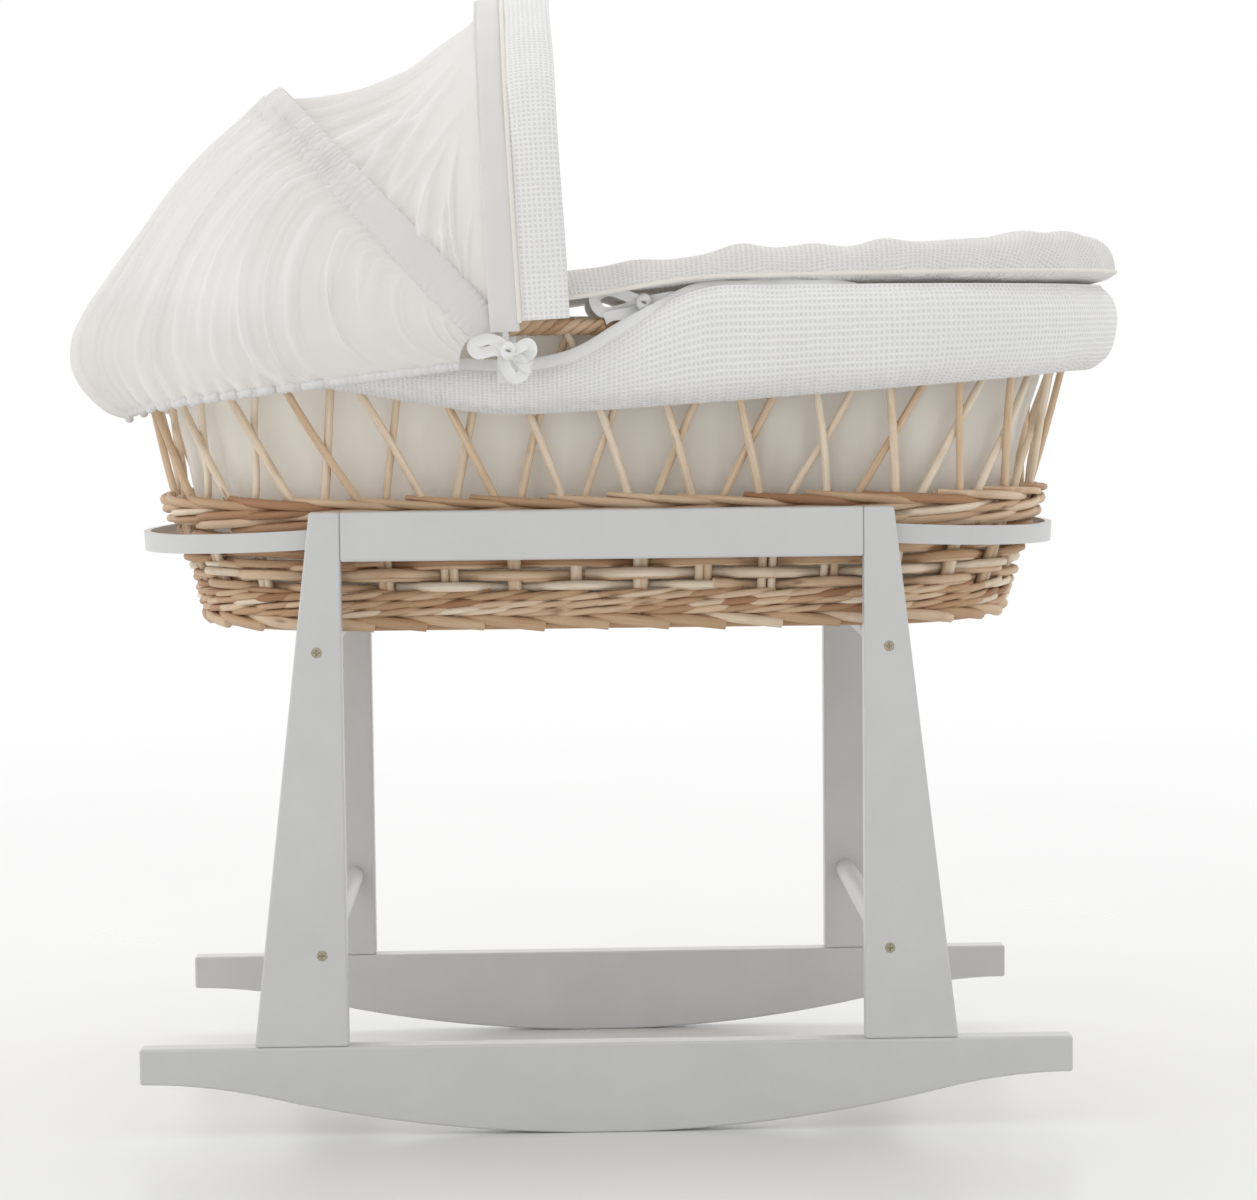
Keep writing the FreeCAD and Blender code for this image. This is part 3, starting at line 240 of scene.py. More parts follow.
class Build:
    """Collects grids of points into one mesh, with a UV map in metres and two point values."""

    def __init__(self):
        self.points = []
        self.faces = []
        self.uvs = []
        self.tone = []
        self.cut = []
        self.count = 0

    def add(self, points, tone, cut):
        flat = points.reshape(-1, 3)
        self.points.append(flat)
        self.tone.append(np.full(len(flat), tone) if np.isscalar(tone) else np.ravel(tone))
        self.cut.append(np.full(len(flat), cut))
        first = self.count
        self.count += len(flat)
        return first

    def grid(self, points, u, v, wrap_rows=False, wrap_cols=False, tone=0.5, flip=False):
        """A grid of rows and columns. u and v are its UV lines, one longer where it wraps."""
        rows, cols = points.shape[:2]
        first = self.add(points, tone, 0.0)
        i = np.arange(rows if wrap_rows else rows - 1)[:, None]
        j = np.arange(cols if wrap_cols else cols - 1)[None, :]
        below, right = (i + 1) % rows, (j + 1) % cols
        quad = [i * cols + j, i * cols + right, below * cols + right, below * cols + j]
        u, v = np.asarray(u), np.asarray(v)
        if u.ndim == 1:
            shape = (len(v), len(u))
            u, v = np.broadcast_to(u[None, :], shape), np.broadcast_to(v[:, None], shape)
        corner = [(i, j), (i, j + 1), (i + 1, j + 1), (i + 1, j)]
        if flip:
            quad, corner = quad[::-1], corner[::-1]
        faces = np.stack([q + first + 0 * i + 0 * j for q in quad], -1).reshape(-1, 4)
        places = [np.stack([u[a, b], v[a, b]], -1) for a, b in corner]
        self.faces.append(faces)
        self.uvs.append(np.stack(places, -2).reshape(-1, 2))

    def cap(self, edge, flip=False, tone=0.5, bulge=None):
        """A round end: the ring of points closed by a fan about its middle."""
        middle = edge.mean(0) if bulge is None else edge.mean(0) + bulge
        size = len(edge)
        first = self.add(np.concatenate([edge, middle[None]]), tone, 1.0)
        i = np.arange(size)
        fan = np.stack([i, (i + 1) % size, np.full(size, size), np.full(size, size)], 1) + first
        self.faces.append(fan[:, ::-1] if flip else fan)
        self.uvs.append(np.zeros((4 * size, 2)))

    def rod(self, line, radius, side=UPRIGHT, sides=8, tone=0.5, ends=True):
        """A round rod along a line, with its own radius at each point and cut ends."""
        radius = np.broadcast_to(radius, len(line))
        ahead = heading(line)
        across = unit(side - ahead * (side * ahead).sum(1, keepdims=True))
        third = np.cross(ahead, across)
        turn = np.arange(sides) * 2 * math.pi / sides
        spread = across[:, None] * np.cos(turn)[:, None] + third[:, None] * np.sin(turn)[:, None]
        points = line[:, None] + spread * radius[:, None, None]
        steps = run_along(line)
        u = np.linspace(0, 2 * math.pi * radius.mean(), sides + 1) + tone * 3
        self.grid(points, u, steps + tone * 7, wrap_cols=True, tone=tone)
        if ends:
            self.cap(points[0], True, tone, -ahead[0] * radius[0] * END_BULGE)
            self.cap(points[-1], False, tone, ahead[-1] * radius[-1] * END_BULGE)

    def closed_rod(self, line, radius, sides, tone):
        """A round rod that runs right round and meets itself."""
        self.rod(np.concatenate([line, line[:1]]), radius, UPRIGHT, sides, tone, False)

    def obj(self, name, material, body=None, replaces=()):
        """The finished object, riding on a body."""
        points = np.concatenate(self.points)
        faces = np.concatenate(self.faces)
        uvs = np.concatenate(self.uvs)
        fans = faces[:, 2] == faces[:, 3]
        fans |= faces[:, 0] == faces[:, 1]
        lists = [list(dict.fromkeys(face)) for face in faces.tolist()]
        corners = np.ones((len(faces), 4), bool)
        corners[fans, 3] = False
        uvs = uvs.reshape(-1, 4, 2)[corners]
        mesh = bpy.data.meshes.new(name)
        mesh.from_pydata(points.tolist(), [], lists)
        layer = mesh.uv_layers.new(name="UVMap")
        layer.data.foreach_set("uv", uvs.astype(np.float32).ravel())
        for label, values in (("tone", self.tone), ("cut", self.cut)):
            attribute = mesh.attributes.new(label, "FLOAT", "POINT")
            attribute.data.foreach_set("value", np.concatenate(values).astype(np.float32))
        mesh.polygons.foreach_set("use_smooth", np.ones(len(lists), bool))
        mesh.materials.append(material)
        mesh.validate()
        thing = bpy.data.objects.new(name, mesh)
        bpy.context.scene.collection.objects.link(thing)
        if body:
            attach(thing, body)
        if replaces:
            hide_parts(*replaces)
        return thing


def normals_of(points, wrap_rows=False, wrap_cols=False):
    """Unit normals of a grid of points."""

    def slope(axis, wrap):
        if wrap:
            return np.roll(points, -1, axis) - np.roll(points, 1, axis)
        return np.gradient(points, axis=axis)

    normal = np.cross(slope(1, wrap_cols), slope(0, wrap_rows))
    return normal / np.maximum(np.linalg.norm(normal, axis=2, keepdims=True), 1e-12)


def swell(points, height, wrap_rows=False, wrap_cols=False):
    """Moves a grid of points along its normals."""
    return points + normals_of(points, wrap_rows, wrap_cols) * height[..., None]


def superellipse(count, power):
    """Points round a unit shape between an ellipse (2) and a rectangle (large)."""
    turn = np.arange(count) * 2 * math.pi / count
    c, s = np.cos(turn), np.sin(turn)
    return np.sign(c) * np.abs(c) ** (2 / power), np.sign(s) * np.abs(s) ** (2 / power)


def crease(place, centre, width):
    """A soft ridge of height 1 across a place."""
    return np.exp(-(((place - centre) / width) ** 2))


# ---------------------------------------------------------------- materials


class Finish:
    """A node material round one Principled shader."""

    def __init__(self, name, colour, rough, **sockets):
        self.material = bpy.data.materials.new(name)
        self.material.use_nodes = True
        self.tree = self.material.node_tree
        self.shader = self.tree.nodes["Principled BSDF"]
        self.shader.inputs["Base Color"].default_value = (*colour, 1)
        self.shader.inputs["Roughness"].default_value = rough
        for socket, value in sockets.items():
            self.shader.inputs[socket.replace("_", " ")].default_value = value

    def node(self, kind, inputs=(), **settings):
        node = self.tree.nodes.new("ShaderNode" + kind)
        for key, value in settings.items():
            setattr(node, key, value)
        for key, value in dict(inputs).items():
            if isinstance(value, bpy.types.NodeSocket):
                self.tree.links.new(value, node.inputs[key])
            else:
                node.inputs[key].default_value = value
        return node

    def math(self, operation, first, second=0.0, third=0.0):
        inputs = {0: first, 1: second, 2: third}
        return self.node("Math", inputs, operation=operation).outputs[0]

    def place(self, kind, scale=(1, 1, 1)):
        coordinates = self.node("TexCoord").outputs[kind]
        return self.node("Mapping", {"Vector": coordinates, "Scale": scale}).outputs[0]

    def noise(self, where, scale, detail=3.0, rough=0.55, distortion=0.0):
        inputs = {
            "Vector": where,
            "Scale": scale,
            "Detail": detail,
            "Roughness": rough,
            "Distortion": distortion,
        }
        return self.node("TexNoise", inputs).outputs["Fac"]

    def streaks(self, across, along, detail=3.0, rough=0.55, distortion=0.0):
        """Noise on the UV map, in so many cells a metre each way."""
        return self.noise(self.place("UV", (across, along, 1)), 1.0, detail, rough, distortion)

    def value(self, name):
        """One of the mesh's point values."""
        return self.node("Attribute", attribute_name=name).outputs["Fac"]

    def ramp(self, value, *stops):
        node = self.node("ValToRGB", {"Fac": value})
        elements = node.color_ramp.elements
        while len(elements) < len(stops):
            elements.new(0.5)
        for element, (position, colour) in zip(elements, stops):
            element.position = position
            element.color = (*colour, 1) if hasattr(colour, "__len__") else (colour,) * 3 + (1,)
        return node.outputs["Color"]

    def blend(self, share, first, last, kind="MIX"):
        node = self.node("Mix", data_type="RGBA", blend_type=kind)
        for index, value in ((0, share), (6, first), (7, last)):
            if isinstance(value, bpy.types.NodeSocket):
                self.tree.links.new(value, node.inputs[index])
            else:
                node.inputs[index].default_value = value if index == 0 else (*value, 1)
        return node.outputs[2]

    def colour(self, socket):
        self.tree.links.new(socket, self.shader.inputs["Base Color"])

    def roughness(self, socket):
        self.tree.links.new(socket, self.shader.inputs["Roughness"])

    def bump(self, height, distance, strength=1.0, before=None):
        inputs = {"Height": height, "Distance": distance, "Strength": strength}
        if before is not None:
            inputs["Normal"] = before
        node = self.node("Bump", inputs)
        self.tree.links.new(node.outputs[0], self.shader.inputs["Normal"])
        return node.outputs[0]

    def let_light_through(self, share, colour):
        """Thin cloth: part of the light comes through from behind."""
        thin = self.node("BsdfTranslucent", {"Color": (*colour, 1)})
        both = self.node("MixShader", {0: share, 1: self.shader.outputs[0], 2: thin.outputs[0]})
        self.tree.links.new(both.outputs[0], self.tree.nodes["Material Output"].inputs["Surface"])


def painted_wood():
    """White satin paint over wood: faint grain and brush marks."""
    paint = Finish("white_satin_paint", (0.60, 0.60, 0.595), 0.38, Coat_Weight=0.15, Coat_Roughness=0.25)
    where = paint.place("Object", (3, 12, 30))
    grain = paint.noise(where, 9.0, 5, 0.6, 0.4)
    mottle = paint.noise(paint.place("Object"), 14.0, 4)
    paint.colour(paint.ramp(mottle, (0.3, (0.59, 0.59, 0.588)), (0.7, (0.625, 0.625, 0.62))))
    paint.roughness(paint.ramp(mottle, (0.3, 0.33), (0.7, 0.45)))
    paint.bump(grain, 0.0004, 0.35)
    return paint.material


def beech():
    wood = Finish("beech", (0.62, 0.45, 0.28), 0.55)
    where = wood.place("Object", (60, 60, 6))
    fibre = wood.noise(where, 12.0, 6, 0.6, 0.8)
    wood.colour(wood.ramp(fibre, (0.3, (0.50, 0.34, 0.20)), (0.7, (0.70, 0.53, 0.35))))
    wood.bump(fibre, 0.0002, 0.5)
    return wood.material


def screw_steel():
    """Yellow-passivated zinc with dull patches."""
    metal = Finish("zinc_screw", (0.42, 0.36, 0.25), 0.38, Metallic=0.9)
    patches = metal.noise(metal.place("Object"), 900.0, 4)
    metal.colour(metal.ramp(patches, (0.3, (0.30, 0.26, 0.18)), (0.7, (0.56, 0.50, 0.38))))
    metal.roughness(metal.ramp(patches, (0.3, 0.3), (0.7, 0.55)))
    return metal.material


def rivet_metal():
    metal = Finish("nickel_rivet", (0.62, 0.61, 0.58), 0.28, Metallic=1.0)
    scuffs = metal.noise(metal.place("Object"), 1200.0, 3)
    metal.roughness(metal.ramp(scuffs, (0.35, 0.2), (0.7, 0.42)))
    return metal.material


def bow_plastic():
    plastic = Finish("bow_plastic", (0.75, 0.75, 0.73), 0.42)
    speckle = plastic.noise(plastic.place("Object"), 700.0, 3)
    plastic.bump(speckle, 0.0001, 0.4)
    return plastic.material


def willow():
    """Peeled willow: every rod has its own tone, streaks run along it, with knots and pale cut ends."""
    rod = Finish("peeled_willow", (0.62, 0.42, 0.25), 0.5, Specular_IOR_Level=0.35)
    tone = rod.value("tone")
    cut = rod.value("cut")
    streak = rod.streaks(420, 14, 5, 0.6, 0.3)
    patch = rod.streaks(40, 22, 3)
    base_colour = rod.ramp(
        tone,
        (0.0, (0.40, 0.21, 0.11)),
        (0.35, (0.57, 0.37, 0.22)),
        (0.7, (0.76, 0.58, 0.40)),
        (1.0, (0.90, 0.80, 0.65)),
    )
    streaks = rod.ramp(streak, (0.25, (0.70, 0.62, 0.54)), (0.65, (1.0, 1.0, 1.0)))
    streaked = rod.blend(0.65, base_colour, streaks, "MULTIPLY")
    patched = rod.blend(rod.ramp(patch, (0.52, 0.0), (0.75, 0.45)), streaked, (0.42, 0.24, 0.13))
    knots = rod.node("TexVoronoi", {"Vector": rod.place("UV", (60, 17, 1)), "Scale": 1.0})
    spot = rod.ramp(knots.outputs["Distance"], (0.0, 0.85), (0.14, 0.0))
    spotted = rod.blend(spot, patched, (0.20, 0.10, 0.05))
    rod.colour(rod.blend(cut, spotted, (0.80, 0.63, 0.44)))
    rod.roughness(rod.ramp(streak, (0.3, 0.42), (0.7, 0.62)))
    first = rod.bump(streak, 0.0006, 0.6)
    rod.bump(spot, 0.0008, 0.5, first)
    return rod.material


def cotton(name, colour, shade, through, weave_pitch=0.0007, folds=False):
    """Plain woven cotton: fine threads, faint slubs and soft creases. With folds on, the fold ridges are
    painted lighter: a painted highlight.
    """
    cloth = Finish(name, colour, 0.85, Sheen_Weight=0.25, Sheen_Roughness=0.4)
    pitch = 1 / weave_pitch
    warp = cloth.streaks(pitch, pitch / 14, 2)
    weft = cloth.streaks(pitch / 14, pitch, 2)
    threads = cloth.math("ADD", warp, weft)
    slub = cloth.streaks(22, 9, 4)
    tint = cloth.blend(slub, shade, colour)
    if folds:
        # Painted highlight: the tone value holds the fold height, and the cloth is lightened towards white
        # on the ridges.
        ridge = cloth.value("tone")
        tint = cloth.blend(cloth.ramp(ridge, (0.35, 0.0), (0.85, 1.0)), tint, (1.0, 0.99, 0.975))
    cloth.colour(tint)
    creases = cloth.streaks(16, 34, 3, 0.5, 1.2)
    first = cloth.bump(creases, 0.0022, 0.35)
    cloth.bump(threads, 0.00022, 0.5, first)
    if through:
        cloth.let_light_through(through, colour)
    return cloth.material


def waffle(name, colour, shade, cell=0.0043, depth=0.0010, through=0.0):
    """Waffle-weave cotton: raised ridges round square hollows, with the hollows painted darker as painted
    shade.
    """
    cloth = Finish(name, colour, 0.88, Sheen_Weight=0.2, Sheen_Roughness=0.5)
    ripple = cloth.streaks(60, 60, 3)
    shifted = cloth.node("SeparateXYZ", {0: cloth.place("UV", (1 / cell, 1 / cell, 1))})
    ridges = []
    for axis in (0, 1):
        bent = cloth.math("MULTIPLY_ADD", ripple, 0.35, shifted.outputs[axis])
        wave = cloth.math("ABSOLUTE", cloth.math("COSINE", cloth.math("MULTIPLY", bent, math.pi)))
        ridges.append(cloth.math("POWER", wave, 2.2))
    height = cloth.math("MAXIMUM", *ridges)
    # Painted shade: the colour runs from the ridges' colour down to the shade colour in the hollows.
    floor = cloth.ramp(height, (0.0, shade), (0.75, colour))
    cloth.colour(floor)
    thread = cloth.streaks(1500, 1500, 2)
    soft = cloth.streaks(26, 20, 3, 0.5, 0.8)
    first = cloth.bump(soft, 0.002, 0.3)
    second = cloth.bump(height, depth, 0.8, first)
    cloth.bump(thread, 0.0002, 0.5, second)
    if through:
        cloth.let_light_through(through, colour)
    return cloth.material


def tape(name, colour, rib=0.0009):
    """Narrow woven tape or bias binding, with fine ribs along it."""
    cloth = Finish(name, colour, 0.8, Sheen_Weight=0.2, Sheen_Roughness=0.4)
    ribs = cloth.streaks(1 / rib, 60, 2)
    soft = cloth.streaks(120, 60, 3)
    cloth.colour(cloth.blend(soft, tuple(0.9 * value for value in colour), colour))
    cloth.bump(ribs, 0.0002, 0.6, cloth.bump(soft, 0.001, 0.3))
    return cloth.material


def mattress_cover():
    """White ticking with a stitched diamond pattern, painted darker in the dips along the stitching as
    painted shade.
    """
    cloth = Finish("mattress_ticking", (0.82, 0.82, 0.80), 0.85)
    split = cloth.node("SeparateXYZ", {0: cloth.place("UV", (22, 22, 1))})
    lines = []
    for sign in (1.0, -1.0):
        diagonal = cloth.math("MULTIPLY_ADD", split.outputs[1], sign, split.outputs[0])
        lines.append(cloth.math("ABSOLUTE", cloth.math("SINE", cloth.math("MULTIPLY", diagonal, math.pi))))
    puff = cloth.math("POWER", cloth.math("MINIMUM", *lines), 0.4)
    # Painted shade: the cover is darker where it dips along the stitched lines.
    cloth.colour(cloth.ramp(puff, (0.1, (0.66, 0.66, 0.64)), (0.6, (0.84, 0.84, 0.82))))
    cloth.bump(puff, 0.004, 0.8)
    return cloth.material


PAINT = painted_wood()
BEECH = beech()
SCREW = screw_steel()
RIVET = rivet_metal()
PLASTIC = bow_plastic()
WILLOW = willow()
# folds=True paints a highlight on the hood cloth's fold ridges.
HOOD_COTTON = cotton("hood_cotton", (0.94, 0.925, 0.90), (0.89, 0.87, 0.84), 0.38, folds=True)
LINER_COTTON = cotton("liner_cotton", (0.99, 0.96, 0.90), (0.94, 0.89, 0.82), 0.30)
CASING_COTTON = cotton("casing_cotton", (0.84, 0.83, 0.81), (0.80, 0.79, 0.77), 0.15)
# The second colour of each waffle is the painted shade in its hollows.
WAFFLE = waffle("skirt_waffle", (0.87, 0.865, 0.86), (0.74, 0.735, 0.725))
QUILT_WAFFLE = waffle("quilt_waffle", (0.88, 0.87, 0.845), (0.76, 0.75, 0.725), through=0.12)
MATTRESS = mattress_cover()
BINDING = tape("cotton_binding", (0.86, 0.86, 0.85))
RIBBON = tape("ribbon_tape", (0.87, 0.87, 0.86))
WEBBING = tape("tab_webbing", (0.82, 0.82, 0.80), 0.0016)
PIPING = tape("lining_edge", (0.85, 0.82, 0.76))


def finish_frame():
    """Materials of the CAD nodes that stay."""
    kept = {
        PAINT: (
            "front_rocker back_rocker front_head_leg front_foot_leg back_head_leg back_foot_leg "
            "front_rail back_rail head_hoop foot_hoop lower_head_dowel lower_foot_dowel "
            "upper_head_dowel upper_foot_dowel"
        ),
        SCREW: "frame_screws hoop_screws",
        BEECH: "wooden_pegs",
        RIVET: "hood_rivets",
        PLASTIC: "rear_bow front_bow",
    }
    for material, names in kept.items():
        for name in names.split():
            node = frame["nodes"][name]
            node.data.materials.clear()
            node.data.materials.append(material)


# ---------------------------------------------------------------- wicker basket

PAIRS = 33
ROD = 0.0082
STAKE = 0.0072
STAKE_IN = 0.0108
BASE_BEND = wall(BASE_UP)
RIM_BEND = wall(RIM_UP)


def rod_tone():
    """A rod's own shade, from dark (0) to pale (1)."""
    return float(np.clip(rng.normal(0.56, 0.26), 0.02, 1))


def woven_row(build, up, first_pair, thick, reach_in=STAKE_IN):
    """One row of rods that pass before one pair of stakes and behind the next."""
    swing = thick * 0.62 + STAKE * 0.5
    start = rng.integers(0, PAIRS)
    covered = 0
    while covered < PAIRS:
        run = min(int(rng.integers(5, 9)), PAIRS - covered)
        count = run * 9 + 8
        place = np.linspace(start + covered - 0.35, start + covered + run + 0.45, count)
        phase = math.pi * (place - 0.5 - first_pair)
        swung = np.sin(phase + math.pi / 2)
        out = -reach_in + swing * np.sign(swung) * np.abs(swung) ** 0.75
        taper = thick * np.linspace(1.08, 0.78, count)
        knots = np.linspace(place[0], place[-1], run + 2)
        wobble = np.interp(place, knots, rng.normal(0, 0.9, run + 2))
        height = up + wobble * MM + 0.0011 * np.cos(phase)
        share = place / PAIRS
        points = on_ring(share, wall(height) + out, height, BASE_BEND)
        build.rod(points, taper / 2, tone=rod_tone())
        covered += run


def lower_weave():
    """The rows of plain weaving between the borders, each row with a thinner rod laid just below it."""
    build = Build()
    rows = 5
    low = foot_border.z1 + 0.0175
    pitch = (weave.z1 - low) / rows
    for row in range(rows):
        level = low + (row + 0.5) * pitch
        woven_row(build, level, row % 2, ROD * rng.uniform(0.98, 1.12))
        woven_row(build, level - 0.0034, row % 2, ROD * 0.7, reach_in=STAKE_IN + 0.001)
    return build.obj("willow_weave", WILLOW, "basket", ["lower_weave"])


def twined_rods(build, low, high, thick, span, count, rising=True, out=(-0.002, -0.010)):
    """Slanting strokes of waling: each rod comes out between two pairs and runs over the next."""
    for index in range(count):
        begin = index + rng.uniform(-0.12, 0.12)
        part = np.linspace(0, 1, 15)
        share = (begin + part * span) / count
        rise = part if rising else 1 - part
        arch = np.sin(math.pi * np.clip(part * 1.06 - 0.03, 0, 1))
        height = mix(low, high, rise) + rng.uniform(-0.0016, 0.0016)
        depth = mix(out[1], out[0], arch**0.7)
        radius = thick / 2 * mix(0.72, 1.0, arch) * rng.uniform(0.82, 1.12)
        points = on_ring(share, wall(height) + depth, height, BASE_BEND)
        build.rod(points, radius, tone=rod_tone())


def waling_below():
    """Rows of thin rods twined between the weaving and the foot border."""
    build = Build()
    low = foot_border.z1 - 0.002
    for row in range(3):
        level = low + 0.0068 * row
        twined_rods(build, level, level + 0.0065, 0.0064, 2.3, PAIRS * 2)
    return build.obj("willow_lower_waling", WILLOW, "basket")


def waling_above():
    """The three-rod wale that closes the weaving, its rods slanting over each other."""
    build = Build()
    height = (wale.z1 - wale.z0) / 3
    for row in range(3):
        level = wale.z0 + height * (row + 0.35)
        rising = row < 2
        outer, inner = (0.001, -0.014), (-0.008, -0.0195)
        twined_rods(build, level - 0.001, level + 0.0085, 0.0078, 2.1, PAIRS, rising, outer)
        twined_rods(build, level - 0.002, level + 0.006, 0.0072, 1.9, PAIRS, rising, inner)
    return build.obj("willow_wale", WILLOW, "basket", ["upper_wale"])


def bottom_border():
    """The thick rods of the foot border: each slants down over the next and ends cut."""
    build = Build()
    low, high = BASE_UP + 0.0058, foot_border.z1 + 0.002
    for index in range(PAIRS + 2):
        part = np.linspace(0, 1, 22)
        share = (index + rng.uniform(-0.08, 0.08) + part * 1.95) / (PAIRS + 2)
        height = mix(high, low, part**0.85) + rng.uniform(-0.0007, 0.0007)
        tuck = 0.006 * smooth((BASE_UP + 0.012 - height) / 0.012)
        depth = mix(-0.013, 0.0, smooth(part * 1.25)) - tuck
        radius = 0.0054 * mix(0.72, 1.0, smooth(part * 1.6)) * rng.uniform(0.93, 1.06)
        points = on_ring(share, wall(height) + depth - 0.002, height, BASE_BEND)
        build.rod(points, radius, sides=9, tone=rod_tone())
    for level, depth in ((0.006, -0.0135), (0.0135, -0.0165)):
        points = on_ring(all_round(260), wall(BASE_UP) + depth, BASE_UP + level, BASE_BEND)
        build.closed_rod(points, 0.0045, 8, 0.3)
    return build.obj("willow_foot_border", WILLOW, "basket", ["foot_border"])


def stake_line(share, way, layer, count):
    """A stake: upright in the weaving, then bent and leaning up to the rim."""
    lean = 1.0 / PAIRS
    part = np.linspace(0, 1, count)
    low, high = foot_border.z0 + 0.008, RIM_UP - 0.005
    height = mix(low, high, part)
    free = np.clip((height - weave.z1) / (high - weave.z1), 0, 1)
    free = free * smooth((height - weave.z1) / 0.03 + 0.2)
    bow = rng.normal(0, 0.0016) * np.sin(math.pi * free)
    bow = bow + rng.normal(0, 0.0007) * np.sin(3 * math.pi * free)
    gap = way * STAKE * 0.55 / around(BASE_BEND)
    depth = mix(-STAKE_IN, layer, smooth(free * 3))
    bend = mix(BASE_BEND, RIM_BEND, free)
    shares = share + gap + way * lean * free + bow / around(RIM_BEND)
    return ring(shares, wall(height) + depth, height, bend)


def stakes(name, node, way, layer):
    """One stake of every pair: those that lean one way, in one layer of the wall."""
    build = Build()
    count = 44
    for index in range(PAIRS):
        share = (index + 0.5 + rng.uniform(-0.06, 0.06)) / PAIRS
        points, outward = stake_line(share, way, layer, count)
        thick = STAKE / 2 * np.linspace(1.1, 0.93, count) * rng.uniform(0.92, 1.1)
        # Painted light: the stakes' tones are shifted paler than the woven rods', standing in for the light
        # that the skirt and rim keep off them.
        build.rod(points, thick, outward, 10, rod_tone() * 0.45 + 0.62)
    return build.obj(name, WILLOW, "basket", [node])


def rim_border_rods():
    """The plaited rim: rods that wind over and under each other along the top."""
    build = Build()
    middle = (rim.z0 + rim.z1) / 2
    share = all_round(900)
    plaits, strands = 44, 4
    for strand in range(strands):
        phase = 2 * math.pi * (share * plaits + strand / strands)
        height = middle + 0.0042 * np.sin(phase)
        depth = -0.0105 + 0.0062 * np.cos(phase)
        points = on_ring(share, wall(height) + depth, height, BASE_BEND)
        build.closed_rod(points, 0.0037, 7, 0.35 + 0.12 * strand)
    return build.obj("willow_rim", WILLOW, "basket", ["rim_border"])


def woven_floor():
    """The basket's base: lengthwise and crosswise sticks with rods woven round them."""
    build = Build()
    middle = (base.z0 + base.z1) / 2
    reach = base.y1 - 0.004
    rings = 13
    share = all_round(420)
    for index in range(rings):
        radius = mix(0.012, reach, (index + 0.5) / rings)
        wave = 0.0026 * np.sin(2 * math.pi * share * PAIRS + math.pi * index)
        points = on_ring(share, radius, middle + wave, BASE_BEND)
        build.closed_rod(points, 0.0033, 6, rod_tone())
    for index in range(PAIRS):
        points = on_ring((index + 0.25) / PAIRS, np.linspace(0.004, reach, 12), middle, BASE_BEND)
        build.rod(points, 0.0034, tone=rod_tone())
    return build.obj("willow_floor", WILLOW, "basket", ["woven_base"])


# ---------------------------------------------------------------- bedding

INSIDE = 0.0275


def cup_of_cloth():
    """The cotton lining: softly creased walls and a flat floor, open at the top."""
    rows, cols = 64, 480
    low, high = mattress.z0 - 0.002, RIM_UP + 0.001
    share = all_round(cols)
    part = np.linspace(1, 0, rows)
    height = mix(low, high, part)[:, None] * np.ones((1, cols))
    folds = np.zeros((rows, cols))
    for _ in range(120):
        centre, top, drift = rng.random(), rng.uniform(0.2, 1.05), rng.normal(0, 0.012)
        size, width = rng.uniform(1.2, 4.4) * MM, rng.uniform(0.0022, 0.007)
        gap = np.mod(share[None, :] - centre - drift * (top - part[:, None]) + 0.5, 1) - 0.5
        window = np.exp(-(((part[:, None] - top + 0.2) / rng.uniform(0.15, 0.4)) ** 2))
        folds += size * np.exp(-((gap / width) ** 2)) * window
    billow = 0.0022 * (1 + patch_noise(rows, cols, 5, 40, True))
    inward = INSIDE + folds * 1.2 + billow * np.sin(math.pi * part)[:, None]
    points = on_ring(share, wall(height) - inward, height, BASE_BEND)
    build = Build()
    u = np.linspace(0, around(BASE_BEND), cols + 1)
    build.grid(points, u, np.linspace(high - low, 0, rows), wrap_cols=True)
    shares = np.linspace(1, 0.02, 22)[:, None, None]
    floor = mix(ridge_of(points[-1], CENTRE - HALF, CENTRE + HALF), points[-1], shares)
    build.grid(floor, u, -np.linspace(0, wall(low), 22), wrap_cols=True)
    cloth = build.obj("cotton_liner", LINER_COTTON, "basket", ["liner"])


def ridge_of(outline, first, last):
    """The middle line of a long outline, point by point, between two places along X."""
    ridge = outline.copy()
    ridge[:, 0] = np.clip(outline[:, 0], first, last)
    ridge[:, 1] = 0
    return ridge


def mattress_pad():
    """The mattress: a crowned pad with piped edges."""
    cols, rows = 420, 40
    share = all_round(cols)
    reach = mattress.y1 - 0.003
    tall = mattress.z1 - mattress.z0
    outline = on_ring(share, reach, mattress.z0, BASE_BEND)
    part = (1 - (1 - np.linspace(0, 1, rows)) ** 1.6)[:, None]
    lift = (1 - part**6) ** 0.3 * (0.93 + 0.07 * (1 - part**2))
    flat = mix(ridge_of(outline, CENTRE - HALF, CENTRE + HALF), outline, part[..., None])
    build = Build()
    for sign in (1, -1):
        points = flat.copy()
        points[..., 2] = mattress.z0 + tall / 2 * (1 + sign * lift)
        u, v = points_uv(points, 0), points_uv(points, 1)
        build.grid(points, u, v, wrap_cols=True, flip=sign < 0)
    for level in (0.22, 0.78):
        line = on_ring(share, reach - 0.001, mattress.z0 + tall * level, BASE_BEND)
        build.closed_rod(line, 0.0022, 6, 0.5)
    pad = build.obj("mattress_pad", MATTRESS, "basket", ["mattress"])


def points_uv(points, axis):
    """One flat coordinate of a wrapped grid, with its first column repeated at the end."""
    values = points[..., axis]
    return np.concatenate([values, values[:, :1]], 1)


def dip(x):
    """How far the skirt's top is let down at the handles, from 0 to 1, at a place along X."""
    left, right, run = PIVOT.x - 0.070, PIVOT.x + 0.0175, 0.170
    falling = smooth((x - (left - run)) / run)
    rising = smooth((right + run - x) / run)
    return falling * rising


DIP_DEEP = 0.066
UNDER_HOOD = 0.012
QUILT_DROOP = 0.018


